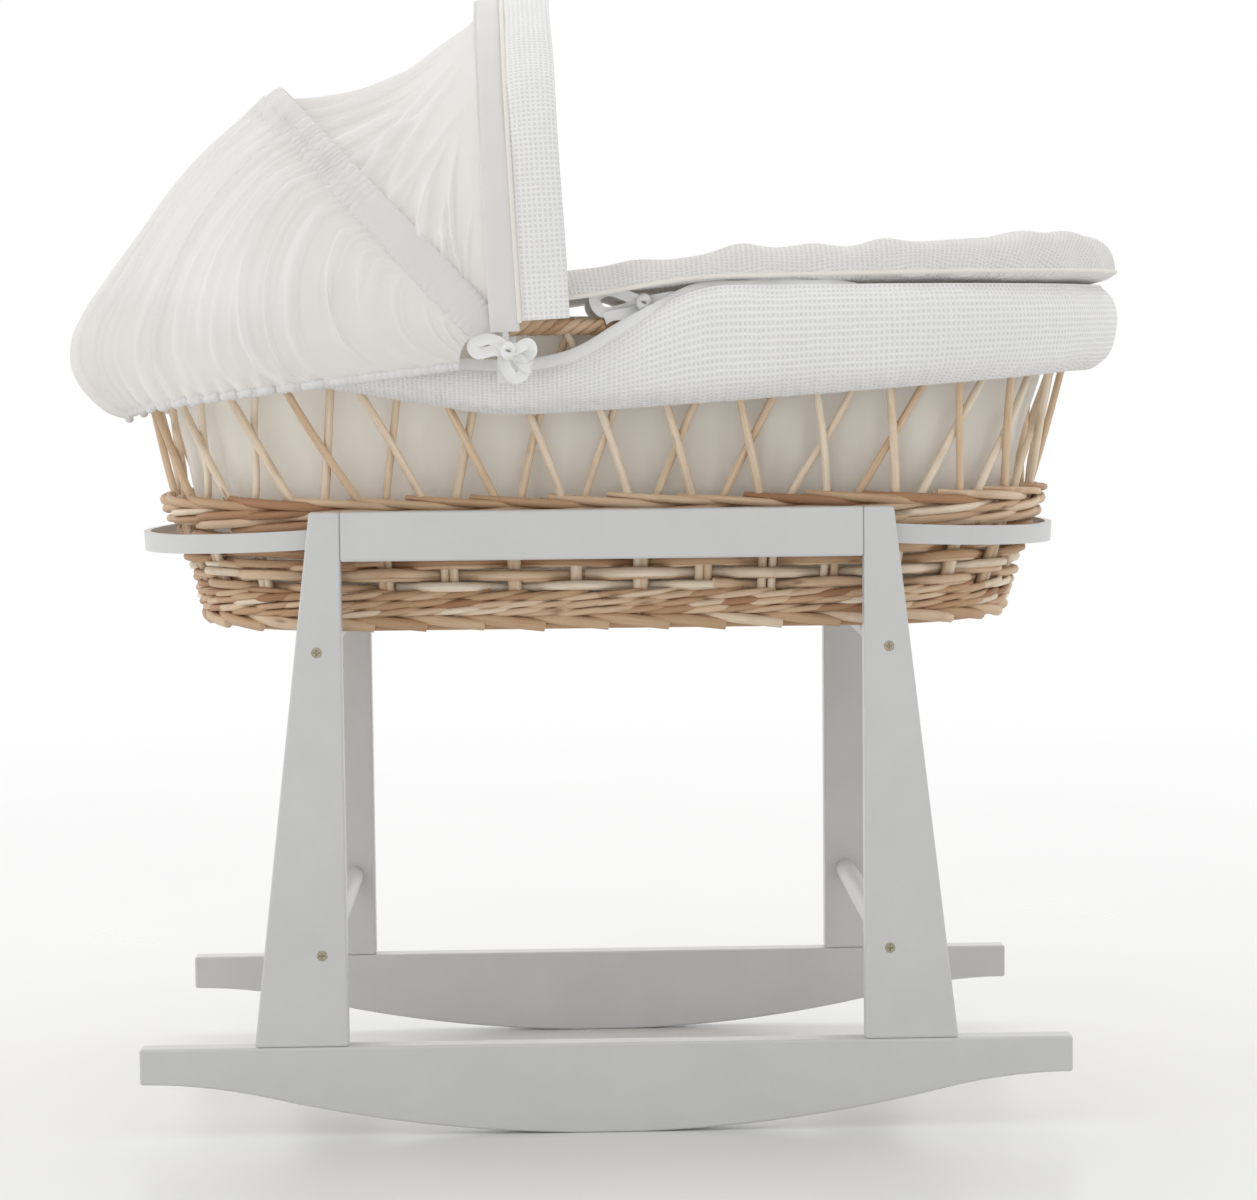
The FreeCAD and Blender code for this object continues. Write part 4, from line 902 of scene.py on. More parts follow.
def skirt_low(x):
    """The skirt's lower edge: lowest below the handles and rising to both ends."""
    foot = 0.039 * np.clip((x - PIVOT.x) / (skirt.x1 - PIVOT.x), 0, None)
    head = 0.070 * np.clip((PIVOT.x - x) / (PIVOT.x - skirt.x0), 0, None)
    return skirt.z0 + 0.003 + np.sqrt((foot + head) ** 2 + 0.004**2)


def skirt_top(x):
    """The skirt's upper edge, let down at both handles."""
    return skirt.z1 - DIP_DEEP * dip(x)


SKIRT_PROFILE = (
    (0.0, -0.038),
    (0.035, -0.024),
    (0.17, -0.010),
    (0.37, -0.003),
    (0.64, 0.0),
    (0.86, -0.004),
    (0.965, -0.013),
    (1.0, -0.026),
)


def padded_skirt():
    """The padded waffle skirt over the rim, puffed out, dipping at the two handles."""
    cols, rows = 760, 84
    share = all_round(cols)
    x = on_ring(share, wall(RIM_UP), RIM_UP, RIM_BEND)[:, 0]
    low, top = skirt_low(x), skirt_top(x)
    over = smooth((top - RIM_UP - 0.002) / 0.014)
    tall = top - low
    reach = mix(wall((low + top) / 2) + 0.026, skirt.y1, smooth((top - RIM_UP + 0.03) / 0.05))
    covered = smooth((PIVOT.x - 0.08 - x) / 0.18)
    reach = reach - UNDER_HOOD * covered
    top = top - UNDER_HOOD * covered
    controls = []
    for part, inward in SKIRT_PROFILE:
        z = low + part * tall
        r = np.maximum(reach + inward, wall(z) + 0.003)
        controls.append((r, z))
    inner, middle = wall(top) + 0.0015, (low + np.minimum(top, RIM_UP)) / 2
    controls += [
        (mix(wall(top) + 0.004, wall(RIM_UP) - 0.019, over), top - mix(0.004, 0.006, over)),
        (mix(inner, wall(RIM_UP) - 0.0262, over), mix(top - 0.010, RIM_UP + 0.004, over)),
        (mix(inner, wall(RIM_UP) + 0.0008, over), mix(top - 0.014, RIM_UP + 0.0015, over)),
        (wall(middle) + 0.001, middle),
        (wall(low) + 0.001, low + 0.005),
    ]
    weights, table = catmull(len(controls), rows, True), np.array(controls)
    r, z = weights @ table[:, 0], weights @ table[:, 1]
    points = on_ring(share, r, z, RIM_BEND)
    outside = smooth((r - wall(z) - 0.006) / 0.012)
    puffs = 0.0016 * patch_noise(rows, cols, 7, 46, True)
    puffs = puffs + 0.0009 * patch_noise(rows, cols, 12, 120, True)
    gather = 0.0011 * np.sin(2 * math.pi * (share * 150 + waves(share, (7, 13), 0.9)))[None, :]
    gather = gather * np.exp(-(((z - low[None]) / 0.012) ** 2))
    points = swell(points, -(puffs + gather) * outside, True, True)
    build = Build()
    u = np.linspace(0, around(skirt.y1), cols + 1)
    steps = np.linalg.norm(np.diff(np.concatenate([points, points[:1]]), axis=0), axis=2).mean(1)
    v = np.concatenate([[0], np.cumsum(steps)])
    build.grid(points, u, v, wrap_rows=True, wrap_cols=True)
    piece = build.obj("waffle_skirt", WAFFLE, "basket", ["padded_skirt"])


def handle_binding():
    """The smooth binding along the skirt's top edge at both handle dips."""
    build = Build()
    count, tilt = 120, 0.45
    x = np.linspace(PIVOT.x - 0.16, PIVOT.x + 0.30, count)
    top = skirt_top(x)
    over = smooth((top - RIM_UP - 0.002) / 0.014)
    y = mix(wall(top) + 0.0085, wall(RIM_UP) - 0.004 + 0.006 * smooth((x - PIVOT.x) / 0.3), over)
    c, s = superellipse(18, 2.6)
    place = np.arange(count)
    fade = np.minimum(1, np.minimum(place, place[::-1]) / 8 + 0.2)[:, None, None]
    for side in (-1, 1):
        line = np.stack([x, side * (y + 0.002), top - 0.001 + 0.0008 * np.sin(x * 95)], 1)
        ahead = heading(line)
        out = unit(np.cross(ahead, UPRIGHT) * -side)
        up = np.cross(ahead, out)
        across = up * np.sign(up[:, 2:3]) * math.cos(tilt) - out * math.sin(tilt)
        wide = across[:, None] * (0.0062 * c)[:, None]
        deep = np.cross(ahead, across)[:, None] * (0.0032 * s)[:, None]
        points = line[:, None] + fade * (wide + deep)
        build.grid(points, np.linspace(0, 0.03, 19), np.linspace(0, length_of(line), count), wrap_cols=True)
        build.cap(points[0], True)
        build.cap(points[-1])
    build.obj("handle_binding", BINDING, "basket", ["skirt_binding"])


QUILT_HALF = wall(RIM_UP) + 0.009
QUILT_FOOT = CENTRE + HALF + wall(RIM_UP) + 0.025
QUILT_RIDGES = (
    (0.02, 0.0, 0.8),
    (0.12, 0.02, 1.4),
    (0.20, -0.01, 0.9),
    (0.29, 0.03, 1.5),
    (0.36, 0.0, 1.1),
    (0.42, 0.02, 0.9),
)


def arc(middle, radius, first, turn, count):
    """Level points along an arc, from an angle and through a turn."""
    angle = first + np.linspace(0, turn, count)
    x, y = middle[0] + radius * np.cos(angle), middle[1] + radius * np.sin(angle)
    return np.stack([x, y, 0 * angle], 1)


def quilt_outline(count):
    """The quilt seen from above: square at the head with soft corners, round at the foot."""
    half, corner = QUILT_HALF, 0.035
    square = math.pi / 2
    foot = arc((QUILT_FOOT - half, 0), half, -square, math.pi, 80)
    far = arc((quilt.x0 + corner, half - corner), corner, square, square, 12)
    near = arc((quilt.x0 + corner, corner - half), corner, math.pi, square, 12)
    return even(np.concatenate([foot, far, near, foot[:1]]), count + 1)[:-1]


def puffy_quilt():
    """The padded coverlet: thin at its head edge, thick and rumpled towards the foot."""
    cols, rows = 520, 60
    outline = quilt_outline(cols)
    spine = ridge_of(outline, quilt.x0 + 0.10, QUILT_FOOT - QUILT_HALF)
    part = 1 - (1 - np.linspace(0, 1, rows)) ** 1.7
    flat = mix(spine[None], outline[None], part[:, None, None])
    x, y = flat[..., 0], flat[..., 1]
    along = np.clip((x - quilt.x0) / (QUILT_FOOT - quilt.x0), 0, 1)
    thick = mix(0.021, quilt.z1 - quilt.z0, along)
    edge = (1 - part[:, None] ** 15) ** 0.5
    build = Build()
    folds = np.zeros_like(x)
    for place, skew, size in QUILT_RIDGES:
        bent = place + skew * np.sin(9 * y) + 0.16 * np.abs(y) * np.sin(20 * place)
        folds += 0.0075 * size * crease(x, bent, 0.020)
    lumps = 0.0045 * np.sin(30 * x + 3 * np.sin(11 * y)) * np.sin(19 * y + 2 * np.sin(9 * x))
    sag = 0.008 * (1 - part[:, None] ** 2)
    middle = quilt.z0 + 0.22 * thick
    outward = unit(outline - spine)
    share = all_round(cols)
    for sign in (1, -1):
        points = flat.copy()
        lift = np.where(sign > 0, 0.76, 0.20) * thick * edge
        points[..., 2] = middle + sign * lift + (folds * 0.6 * (sign > 0) - lumps * 0.5 - sag) * edge
        points[..., 2] -= QUILT_DROOP * dip(x) * part[:, None] ** 4
        drop = middle + 0.76 * thick - points[..., 2]
        pull = 0.0022 * np.sin(2 * math.pi * share * 31 + waves(share, (3, 7), 1.4))
        points += outward[None] * (pull[None, :, None] * part[:, None, None] ** 6)
        spread = points + outward * drop[..., None]
        build.grid(points, points_uv(spread, 0), points_uv(spread, 1), wrap_cols=True, flip=sign < 0)
        if sign > 0:
            rim_line = points[-1]
    piece = build.obj("puffy_quilt", QUILT_WAFFLE, "quilt", ["quilt"])
    edging = Build()
    edging.closed_rod(rim_line, 0.0021, 7, 0.5)
    edging.obj("quilt_edge", PIPING, "quilt")


# ---------------------------------------------------------------- hood

FRONT_ANGLE = 93.0
REAR_ANGLE = 133.5
BOW_REACH = 0.316
CASING_IN = 0.0038
CASING_AT_PIVOT = 0.0066
REAR_HALF = (casing.y1 - casing.y0) / 2 - CASING_IN
BOW_RISE = 0.805 * REAR_HALF
BOW_CORNER = 0.825 * BOW_RISE
FRONT_HALF = (front_casing.y1 - front_casing.y0) / 2 - CASING_IN
PIVOT_POINT = np.array(PIVOT)


def arch(share, half, leg, reach, corner, first=0.0):
    """(across, up) along a three-centred arch: straight legs, corner arcs and a flatter crown."""
    rise = reach - leg
    crown = ((half - corner) ** 2 + rise**2 - corner**2) / (2 * (rise - corner))
    turn = math.atan2(half - corner, crown - rise)
    meet = math.pi / 2 - turn
    straight, round_corner = leg - first, corner * meet
    total = 2 * (straight + round_corner + crown * turn)
    s = np.asarray(share) * total
    d = np.minimum(s, total - s)
    bend = (d - straight) / corner
    top = meet + (d - straight - round_corner) / crown
    cases = [d < straight, d < straight + round_corner]
    across = np.select(cases, [half + 0 * d, half - corner + corner * np.cos(bend)], crown * np.cos(top))
    up = np.select(cases, [first + d, leg + corner * np.sin(bend)], reach - crown + crown * np.sin(top))
    return np.where(s < total / 2, -across, across), up


def arch_points(root, along, across, up):
    """An arch in space: up along a direction from its root, and across along Y."""
    points = root + along * up[:, None]
    points[:, 1] += across
    return points


def bow_line(angle, half, count, first=0.0):
    """Points along a bow, its outward direction at each, and the way its plane faces."""
    across, up = arch(np.linspace(0, 1, count), half, BOW_REACH - BOW_RISE, BOW_REACH, BOW_CORNER, first)
    line = arch_points(PIVOT_POINT, direction(angle), across, up)
    normal = direction(angle - 90)
    out = np.cross(heading(line), normal)
    out *= np.sign(((line - line.mean(0)) * out).sum(1))[len(out) // 2]
    return line, out, normal


def band(name, angle, half, near, far, thick, first, material, body, node, ripple, power=3.0, cols=900):
    """A cloth band along a bow, from one distance off the bow's plane to another."""
    line, out, normal = bow_line(angle, half, cols, first)
    c, s = superellipse(30, power)
    steps = run_along(line)
    wide = (far - near) / 2
    rise = ripple(steps[:, None], (c * wide)[None, :])
    clear = smooth((np.minimum(steps, steps[-1] - steps) - 0.12) / 0.07)[:, None]
    depth = mix(CASING_AT_PIVOT, thick, clear) * (1 + rise[0] * mix(0.15, 1, clear))
    spread = normal[None, None] * (c * wide)[None, :, None] * (1 + rise[1])[..., None]
    bulge = out[:, None] * ((s / 2)[None, :] * depth)[..., None]
    points = line[:, None] + normal * (near + far) / 2 + spread + bulge
    build = Build()
    v = run_along(np.stack([c * wide, s * thick / 2], 1))
    v = np.append(v, v[-1] + v[1])
    build.grid(points, v, steps, wrap_cols=True)
    build.cap(points[0], True)
    build.cap(points[-1])
    return build.obj(name, material, body, [node])


def ruched(length, across):
    """Gathers across the casing: uneven ridges that slant a little."""
    wander = 0.004 * np.sin(length * 61) + 0.003 * np.sin(length * 143 + 1.3)
    place = (length + wander + 0.35 * across + 0.002 * np.sin(across * 300)) / 0.0072
    ridge = np.abs(np.sin(math.pi * place)) ** 0.7
    fine = 0.3 * np.sin(2 * math.pi * (length * 310 + across * 40))
    strength = 0.75 + 0.25 * np.sin(length * 27 + 0.7)
    return (ridge - 0.6) * 0.62 * strength + 0.10 * fine, (ridge - 0.5) * 0.09 * strength


def pressed(length, across):
    """A flat strip: faint puckers along both stitched edges."""
    edge = np.abs(across) / 0.0125
    pucker = 0.10 * np.sin(2 * math.pi * length / 0.011 + 2 * np.sin(length * 40)) * edge**3
    seam = -0.35 * crease(edge, 0.80, 0.06)
    slack = 0.12 * np.sin(length * 55 + across * 60) + 0.08 * np.sin(length * 131)
    return pucker + seam + slack, 0.03 * np.sin(length * 47)


def plump(length, across):
    """A padded border: soft dents along it."""
    slack = 0.12 * np.sin(length * 38 + 40 * across) + 0.08 * np.sin(length * 91 + 1)
    return slack, 0.02 * np.sin(length * 33)


def hood_bands():
    """The ruched and flat casings, the padded border beside the flat one, and the piping between."""
    eye = 0.014
    front_wide, rear_wide, border_wide = 0.025, 0.032, 0.042
    rear = band(
        "ruched_casing", REAR_ANGLE, REAR_HALF, -rear_wide / 2, rear_wide / 2, 0.0092, eye,
        CASING_COTTON, "hood_rear", "rear_bow_casing", ruched, 2.2, 1500,
    )
    front = band(
        "flat_casing", FRONT_ANGLE, FRONT_HALF, -front_wide / 2, front_wide / 2, 0.0085, eye,
        CASING_COTTON, "hood_front", "front_bow_casing", pressed, 4.0,
    )
    near = front_wide / 2 + 0.0008
    border = band(
        "waffle_border", FRONT_ANGLE, FRONT_HALF, near, near + border_wide, 0.0145, eye * 1.6,
        WAFFLE, "hood_front", "hood_border", plump, 2.7,
    )
    lip, out, normal = bow_line(FRONT_ANGLE, FRONT_HALF, 500, eye * 1.5)
    build = Build()
    build.rod(lip + normal * (near - 0.0005) + out * 0.003, 0.0021, normal, 7)
    build.obj("border_piping", PIPING, "hood_front")


def wrinkled(rows, cols, count, size, width, drift, fade):
    """Random long creases along the rows of a grid, as heights."""
    down, across = np.linspace(0, 1, rows)[:, None], np.linspace(0, 1, cols)[None, :]
    total = np.zeros((rows, cols))
    for index in range(count):
        centre = (index + rng.uniform(0.2, 0.8)) / count
        lean = rng.normal(drift * (centre - 0.5), 0.01)
        begin, end = fade(centre)
        window = smooth((down - begin) / 0.16 + 0.5) * smooth((end - down) / 0.2 + 0.5)
        wide = width * rng.uniform(0.6, 1.6)
        total += rng.uniform(0.4, 1.2) * crease(across, centre + lean * down**1.4, wide) * window
    return size * total


def rear_crowns(rows):
    """The hood's back as seen from the side: down from the bow, round and under to the hem."""
    bow = PIVOT_POINT + direction(REAR_ANGLE) * BOW_REACH
    back = np.array([rear_panel.x0 + 0.006, 0, PIVOT.z])
    end = np.array([hem.x0 + 0.004, 0, hem.z0 + 0.004])
    bulge = 0.015 * np.array([-0.77, 0, 0.63])
    line = [
        bow,
        mix(bow, back, 0.33) + bulge,
        mix(bow, back, 0.68) + bulge,
        mix(bow, back, 0.90) + bulge * 0.8,
        back,
        mix(back, end, 0.35) + np.array([-0.010, 0, -0.006]),
        mix(back, end, 0.72) + np.array([-0.006, 0, -0.008]),
        end,
    ]
    return even(curve_through(line, 300), rows)


def raised(points, height, facing):
    """A cloth's points moved along its normals, on the side that faces a direction."""
    out = normals_of(points)
    middle = out[len(out) // 2, out.shape[1] // 2]
    return points + out * np.sign((middle * facing).sum()) * height[..., None]


def rear_cloth():
    """The deep rear panel, gathered at the bow and at the elastic hem."""
    rows, cols = 150, 620
    share = np.linspace(0, 1, cols)
    crowns = rear_crowns(rows)
    down = np.linspace(0, 1, rows)
    offset = direction(REAR_ANGLE + 90) * 0.0164
    points = np.zeros((rows, cols, 3))
    leg_first, leg_last = BOW_REACH - BOW_RISE, BOW_REACH - BOW_RISE + 0.070
    for row, part in enumerate(down):
        start = smooth(part / 0.12)
        root = PIVOT_POINT + offset * start
        along = crowns[row] - root
        reach = np.linalg.norm(along)
        along /= reach
        leg = mix(leg_first, leg_last, part**0.8)
        half = REAR_HALF - 0.0025 * smooth((part - 0.7) / 0.3)
        corner = (reach - leg) * 0.83
        across, up = arch(share, half, leg, reach, corner, 0.004 + 0.024 * start)
        points[row] = arch_points(root, along, across, up)

    def fade(centre):
        return rng.choice([-0.2, 0.0, 0.1]), rng.choice([0.7, 0.95, 1.3], p=[0.3, 0.4, 0.3])

    lines = wrinkled(rows, cols, 40, 0.0050, 0.0034, 0.30, fade)
    lines = lines + wrinkled(rows, cols, 80, 0.0016, 0.0018, 0.26, fade)
    billow = 0.004 * patch_noise(rows, cols, 4, 9) * np.sin(math.pi * down)[:, None]
    near_bow = np.exp(-((down / 0.09) ** 2))[:, None]
    near_hem = smooth((down - 0.80) / 0.2)[:, None]
    phase = 2 * math.pi * share[None, :]
    bow_gathers = 0.0014 * np.sin(92 * phase + 2.2 * np.sin(7 * phase)) * near_bow
    hem_gathers = 0.0030 * np.sin(48 * phase + 2.5 * np.sin(5 * phase) + 2 * down[:, None]) * near_hem
    height = lines + billow + bow_gathers + hem_gathers
    height *= mix(0.25, 1, smooth((np.minimum(share, 1 - share) - 0.06) / 0.10))[None, :]
    points = raised(points, height, np.array([-1, 0, 1]))
    build = Build()
    u, v = run_along(points[rows // 2]), run_along(crowns)
    # The fold heights go into tone, which the hood cotton turns into a painted highlight on the ridges.
    build.grid(points, u, v, tone=np.clip(height / 0.006 + 0.25, 0, 1))
    cloth = build.obj("hood_rear_cloth", HOOD_COTTON, None, ["hood_rear_panel"])
    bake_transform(cloth)
    return points[-1]


def hem_tube(line):
    """The gathered elastic hem that grips the basket below the skirt at the head end."""
    count, pitch = 1300, 0.0058
    line = even(line, count)
    steps = np.linspace(0, length_of(line), count)
    puckers = 1 + 0.34 * np.abs(np.sin(math.pi * steps / pitch + 1.6 * np.sin(steps * 70)))
    build = Build()
    build.rod(line, 0.0031 * puckers, np.cross(np.gradient(line, axis=0), UPRIGHT), 12)
    build.obj("elastic_hem", CASING_COTTON, "basket", ["hood_hem"])


def front_cloth():
    """The panel between the bows: it sags, and its folds fan out from the gathered casing."""
    rows, cols = 110, 620
    share = np.linspace(0, 1, cols)
    down = np.linspace(0, 1, rows)
    points = np.zeros((rows, cols, 3))
    for row, part in enumerate(down):
        angle = mix(FRONT_ANGLE, REAR_ANGLE, part)
        sag = 0.046 * math.sin(math.pi * part**1.08) ** 0.85
        reach = BOW_REACH - sag - 0.001
        leg = mix(BOW_REACH - BOW_RISE, BOW_REACH - BOW_RISE - 0.01, math.sin(math.pi * part))
        corner = min(BOW_CORNER, (reach - leg) * 0.84)
        half = mix(FRONT_HALF, REAR_HALF, part) - 0.003 * math.sin(math.pi * part)
        across, up = arch(share, half, leg, reach, corner, 0.012)
        points[row] = arch_points(PIVOT_POINT, direction(angle), across, up)

    def fans(count, size, width, lean):
        grid_down, grid_across = down[:, None], share[None, :]
        total = np.zeros((rows, cols))
        for index in range(count):
            centre = (index + rng.uniform(0.2, 0.8)) / count
            rise = lean * (0.5 - centre) * rng.uniform(0.6, 1.3)
            line = centre + rise * (1 - grid_down) ** 1.3
            begin = rng.uniform(0.0, 0.5)
            window = smooth((grid_down - begin) / 0.3)
            wide = width * rng.uniform(0.6, 1.7) * (1.7 - grid_down)
            total += rng.uniform(0.4, 1.2) * crease(grid_across, line, wide) * window
        return size * total

    folds = fans(24, 0.0066, 0.0062, 0.42) + fans(46, 0.0028, 0.0026, 0.30)
    near_rear = np.exp(-(((1 - down) / 0.10) ** 2))[:, None]
    phase = 2 * math.pi * share[None, :]
    folds = folds + 0.0014 * np.sin(92 * phase + 2.2 * np.sin(7 * phase)) * near_rear
    folds *= smooth(np.minimum(share, 1 - share) / 0.10)[None, :]
    folds *= smooth(down / 0.12)[:, None] * smooth((1 - down) / 0.04 + 0.15)[:, None]
    height = folds - 0.004 * smooth(down / 0.12)[:, None]
    points = raised(points, height, np.array([-0.4, 0, 1]))
    build = Build()
    u = run_along(points[rows // 2])
    v = np.linspace(0, BOW_REACH * math.radians(REAR_ANGLE - FRONT_ANGLE), rows)
    # The fold heights go into tone, which the hood cotton turns into a painted highlight on the ridges.
    build.grid(points, u, v, tone=np.clip(folds / 0.008 + 0.2, 0, 1))
    cloth = build.obj("hood_front_cloth", HOOD_COTTON, None, ["hood_front_panel"])
    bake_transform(cloth)


def strap_tabs():
    """The webbing tabs that the rivets hold, sewn into the skirt below the pivots."""
    build = Build()
    wide = tabs.x1 - tabs.x0
    for side in (-1, 1):
        count = 40
        z = np.linspace(tabs.z0, tabs.z1, count)
        y = side * (tabs.y1 - 0.001 + 0.0004 * np.sin(z * 160))
        c, s = superellipse(20, 4)
        line = np.stack([np.full(count, (tabs.x0 + tabs.x1) / 2), y, z], 1)
        points = line[:, None] + np.stack([c * wide / 2, s * 0.001, 0 * c], 1)[None]
        build.grid(points, np.linspace(0, 0.036, 21), z - z[0], wrap_cols=True, flip=True)
        build.cap(points[0])
        build.cap(points[-1], True)
    return build.obj("webbing_tabs", WEBBING, "basket", ["hood_tabs"])


RIBBON_WIDE = 0.010


def ribbon(build, line, face):
    """A strip of ribbon along a line, facing a direction, its edges curled a little."""
    wide, cup, twist = RIBBON_WIDE, 0.22, 0.35
    ahead = heading(line)
    across = unit(np.cross(ahead, face))
    up = np.cross(across, ahead)
    turn = twist * np.sin(np.linspace(0, math.pi * 2, len(line)))[:, None]
    across, up = across * np.cos(turn) + up * np.sin(turn), up * np.cos(turn) - across * np.sin(turn)
    w = np.linspace(-1, 1, 9)
    points = line[:, None] + across[:, None] * (w * wide / 2)[None, :, None]
    points = points + up[:, None] * (cup * wide * (w**2 - 0.4))[None, :, None]
    steps = run_along(line)
    build.grid(points, np.linspace(0, wide, 9), steps)
    return steps[-1]


def tied_bow(name, at, out, paths, mirror, replaces=(), scale=1.0):
    """A ribbon tied in a bow: loops and tails, as points in mm, out of one knot."""
    build = Build()
    total = 0.0
    for path in paths:
        line = curve_through(np.array(path) * (mirror, 1, 1) * MM * scale, 60)
        total += ribbon(build, at + turned(line, out), out)
    loops = build.obj(name, RIBBON, "basket", replaces)
    knot = Build()
    turn = np.linspace(0, 2 * math.pi, 40)
    for tilt, size in ((0.0, 1.0), (1.1, 0.82)):
        high = 3.5 + 1.6 * np.sin(turn * 2 + tilt)
        loop = np.stack([np.cos(turn) * 4.2 * size, np.sin(turn) * 5.6 * size, high], 1)
        loop = loop @ np.array(Matrix.Rotation(tilt, 3, "Z")).T
        knot.rod(at + turned(loop * MM, out), 0.0026, out, 9, 0.5, False)
    knot.obj(name + "_knot", RIBBON, "basket")


def turned(points, out):
    """Takes (right, up, towards the viewer) to the frame, for a side that faces out."""
    right = np.cross(UPRIGHT, out)
    return points[:, 0:1] * right + points[:, 1:2] * UPRIGHT + points[:, 2:3] * out


# Loops, then tails: (across, up, outwards) in mm.
PIVOT_BOW = [
    [(0, 0, 3), (-10, 10, 5), (-24, 13, 4), (-37, 6, 2), (-32, -2, 2), (-16, 1, 3), (0, 0, 3)],
    [(0, 0, 3), (9, 2, 5), (21, 7, 4), (24, -2, 3), (14, -7, 3), (0, 0, 3)],
    [(0, 0, 3), (-5, -10, 3), (-2, -20, 3), (6, -28, 3), (15, -24, 3), (16, -14, 3)],
    [(0, 0, 3), (10, -8, 4), (18, -16, 4), (25, -17, 3)],
]
HANDLE_BOW = [
    [(0, 0, 0), (-12, 5, 2), (-30, 11, 3), (-42, 4, 2), (-36, -7, 2), (-20, -6, 2), (0, 0, 0)],
    [(0, 0, 0), (12, 2, 3), (26, 4, 3), (33, -1, 2), (24, -6, 2), (0, 0, 0)],
    [(0, 0, 0), (18, -4, 3), (38, 0, 3), (62, 3, 3), (82, 5, 2)],
    [(0, 0, 0), (-10, -8, 4), (-26, -11, 4), (-34, -14, 3)],
]


def ribbon_bows():
    """The bow at each pivot, and the smaller one in each handle dip."""
    for side, label in ((-1, "near"), (1, "far")):
        out = np.array([0.0, side, 0.0])
        at = np.array([PIVOT.x + 0.002, side * (ties.y1 - 0.0052), PIVOT.z - 0.002])
        replaces = ["hood_ties"] if side < 0 else ()
        tied_bow(f"pivot_bow_{label}", at, out, PIVOT_BOW, -side, replaces, 0.8)
        x = PIVOT.x + 0.118
        at = np.array([x, side * (wall(RIM_UP) - 0.005), float(skirt_top(x)) + 0.010])
        tied_bow(f"handle_bow_{label}", at, out, HANDLE_BOW, -side)


# ---------------------------------------------------------------- stage, light and camera


def stage_floor():
    """A pale glossy floor that fades to white in the distance."""
    mesh = bpy.data.meshes.new("floor")
    far = 30.0
    corners = [(-far, -far, 0), (far, -far, 0), (far, far, 0), (-far, far, 0)]
    mesh.from_pydata(corners, [], [(0, 1, 2, 3)])
    floor = bpy.data.objects.new("floor", mesh)
    bpy.context.scene.collection.objects.link(floor)
    finish = Finish("studio_floor", (0.78, 0.78, 0.775), 0.3)
    scuffs = finish.noise(finish.place("Object"), 2.0, 2)
    finish.roughness(finish.ramp(scuffs, (0.3, 0.27), (0.7, 0.33)))
    away = finish.node("VectorMath", {0: finish.place("Object")}, operation="LENGTH").outputs["Value"]
    span = {"Value": away, "From Min": 0.9, "From Max": 3.2}
    fade = finish.node("MapRange", span, interpolation_type="SMOOTHSTEP")
    glow = finish.node("Emission", {"Color": (1, 1, 1, 1), "Strength": 1.0})
    both = finish.node("MixShader", {0: fade.outputs[0], 1: finish.shader.outputs[0], 2: glow.outputs[0]})
    finish.tree.links.new(both.outputs[0], finish.tree.nodes["Material Output"].inputs["Surface"])
    mesh.materials.append(finish.material)


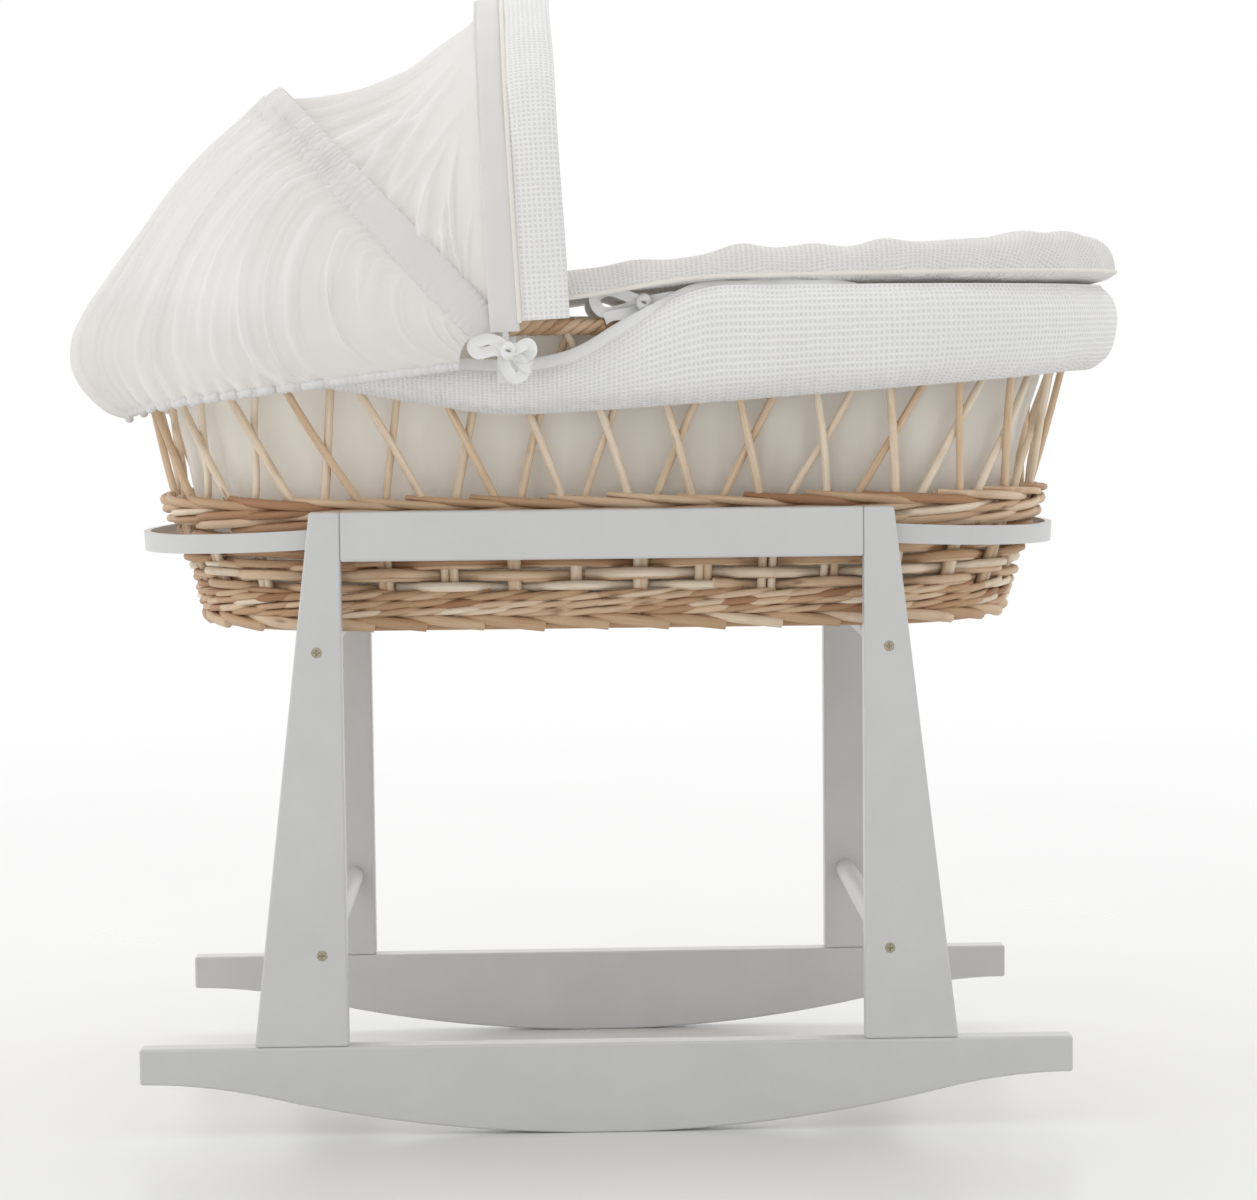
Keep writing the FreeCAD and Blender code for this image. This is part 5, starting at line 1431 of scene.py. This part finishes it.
def stage_light():
    """An even white world, brighter behind the object, and soft boxes above and beside."""
    world = bpy.data.worlds.new("studio")
    bpy.context.scene.world = world
    bpy.context.scene.view_settings.view_transform = "Standard"
    world.use_nodes = True
    tree = world.node_tree
    seen = tree.nodes.new("ShaderNodeBackground")
    lighting = tree.nodes["Background"]
    for background in (seen, lighting):
        background.inputs["Color"].default_value = (1, 1, 1, 1)
    where = tree.nodes.new("ShaderNodeTexCoord")
    split = tree.nodes.new("ShaderNodeSeparateXYZ")
    spread = tree.nodes.new("ShaderNodeMapRange")
    spread.interpolation_type = "SMOOTHSTEP"
    for key, value in (("From Min", -0.5), ("From Max", 0.9), ("To Min", 0.86), ("To Max", 1.22)):
        spread.inputs[key].default_value = value
    path = tree.nodes.new("ShaderNodeLightPath")
    both = tree.nodes.new("ShaderNodeMixShader")
    tree.links.new(where.outputs["Generated"], split.inputs[0])
    tree.links.new(split.outputs["Y"], spread.inputs["Value"])
    tree.links.new(spread.outputs["Result"], lighting.inputs["Strength"])
    tree.links.new(path.outputs["Is Camera Ray"], both.inputs[0])
    tree.links.new(lighting.outputs[0], both.inputs[1])
    tree.links.new(seen.outputs[0], both.inputs[2])
    tree.links.new(both.outputs[0], tree.nodes["World Output"].inputs["Surface"])
    soft_box("top_box", (0.2, 0.9, 2.6), (0, 0, 0.6), 2.2, 6)
    soft_box("side_box", (-2.4, -1.2, 1.8), (0, 0, 0.6), 1.6, 8)


def soft_box(name, at, aim, wide, power):
    light = bpy.data.lights.new(name, "AREA")
    light.shape = "SQUARE"
    light.size = wide
    light.energy = power
    lamp = bpy.data.objects.new(name, light)
    lamp.location = at
    lamp.rotation_euler = (Vector(aim) - Vector(at)).to_track_quat("-Z", "Y").to_euler()
    bpy.context.scene.collection.objects.link(lamp)


def stage_camera():
    """A long lens at the photograph's viewing angle, a little above the basket's rim."""
    yaw, pitch, roll = 0.0224127, 0.0814034, -0.0102535
    ahead = Vector((math.sin(yaw) * math.cos(pitch), math.cos(yaw) * math.cos(pitch), -math.sin(pitch)))
    right = Vector((math.cos(yaw), -math.sin(yaw), 0))
    up = right.cross(ahead)
    rolled = right * math.cos(roll) + up * math.sin(roll)
    upright = up * math.cos(roll) - right * math.sin(roll)
    data = bpy.data.cameras.new("camera")
    data.lens = 87.21
    data.sensor_width = 36.0
    camera = bpy.data.objects.new("camera", data)
    turn = Matrix((rolled, upright, -ahead)).transposed().to_4x4()
    camera.matrix_world = Matrix.Translation((-0.03675, -2.84641, 0.68445)) @ turn
    bpy.context.scene.collection.objects.link(camera)
    bpy.context.scene.camera = camera


finish_frame()
woven_floor()
bottom_border()
waling_below()
lower_weave()
waling_above()
stakes("stakes_leaning_left", "left_leaning_stakes", -1, -0.0105)
stakes("stakes_leaning_right", "right_leaning_stakes", 1, -0.0178)
rim_border_rods()
cup_of_cloth()
mattress_pad()
padded_skirt()
handle_binding()
puffy_quilt()
hood_bands()
hem_tube(rear_cloth())
front_cloth()
strap_tabs()
ribbon_bows()
stage_floor()
stage_light()
stage_camera()

bpy.context.view_layer.update()
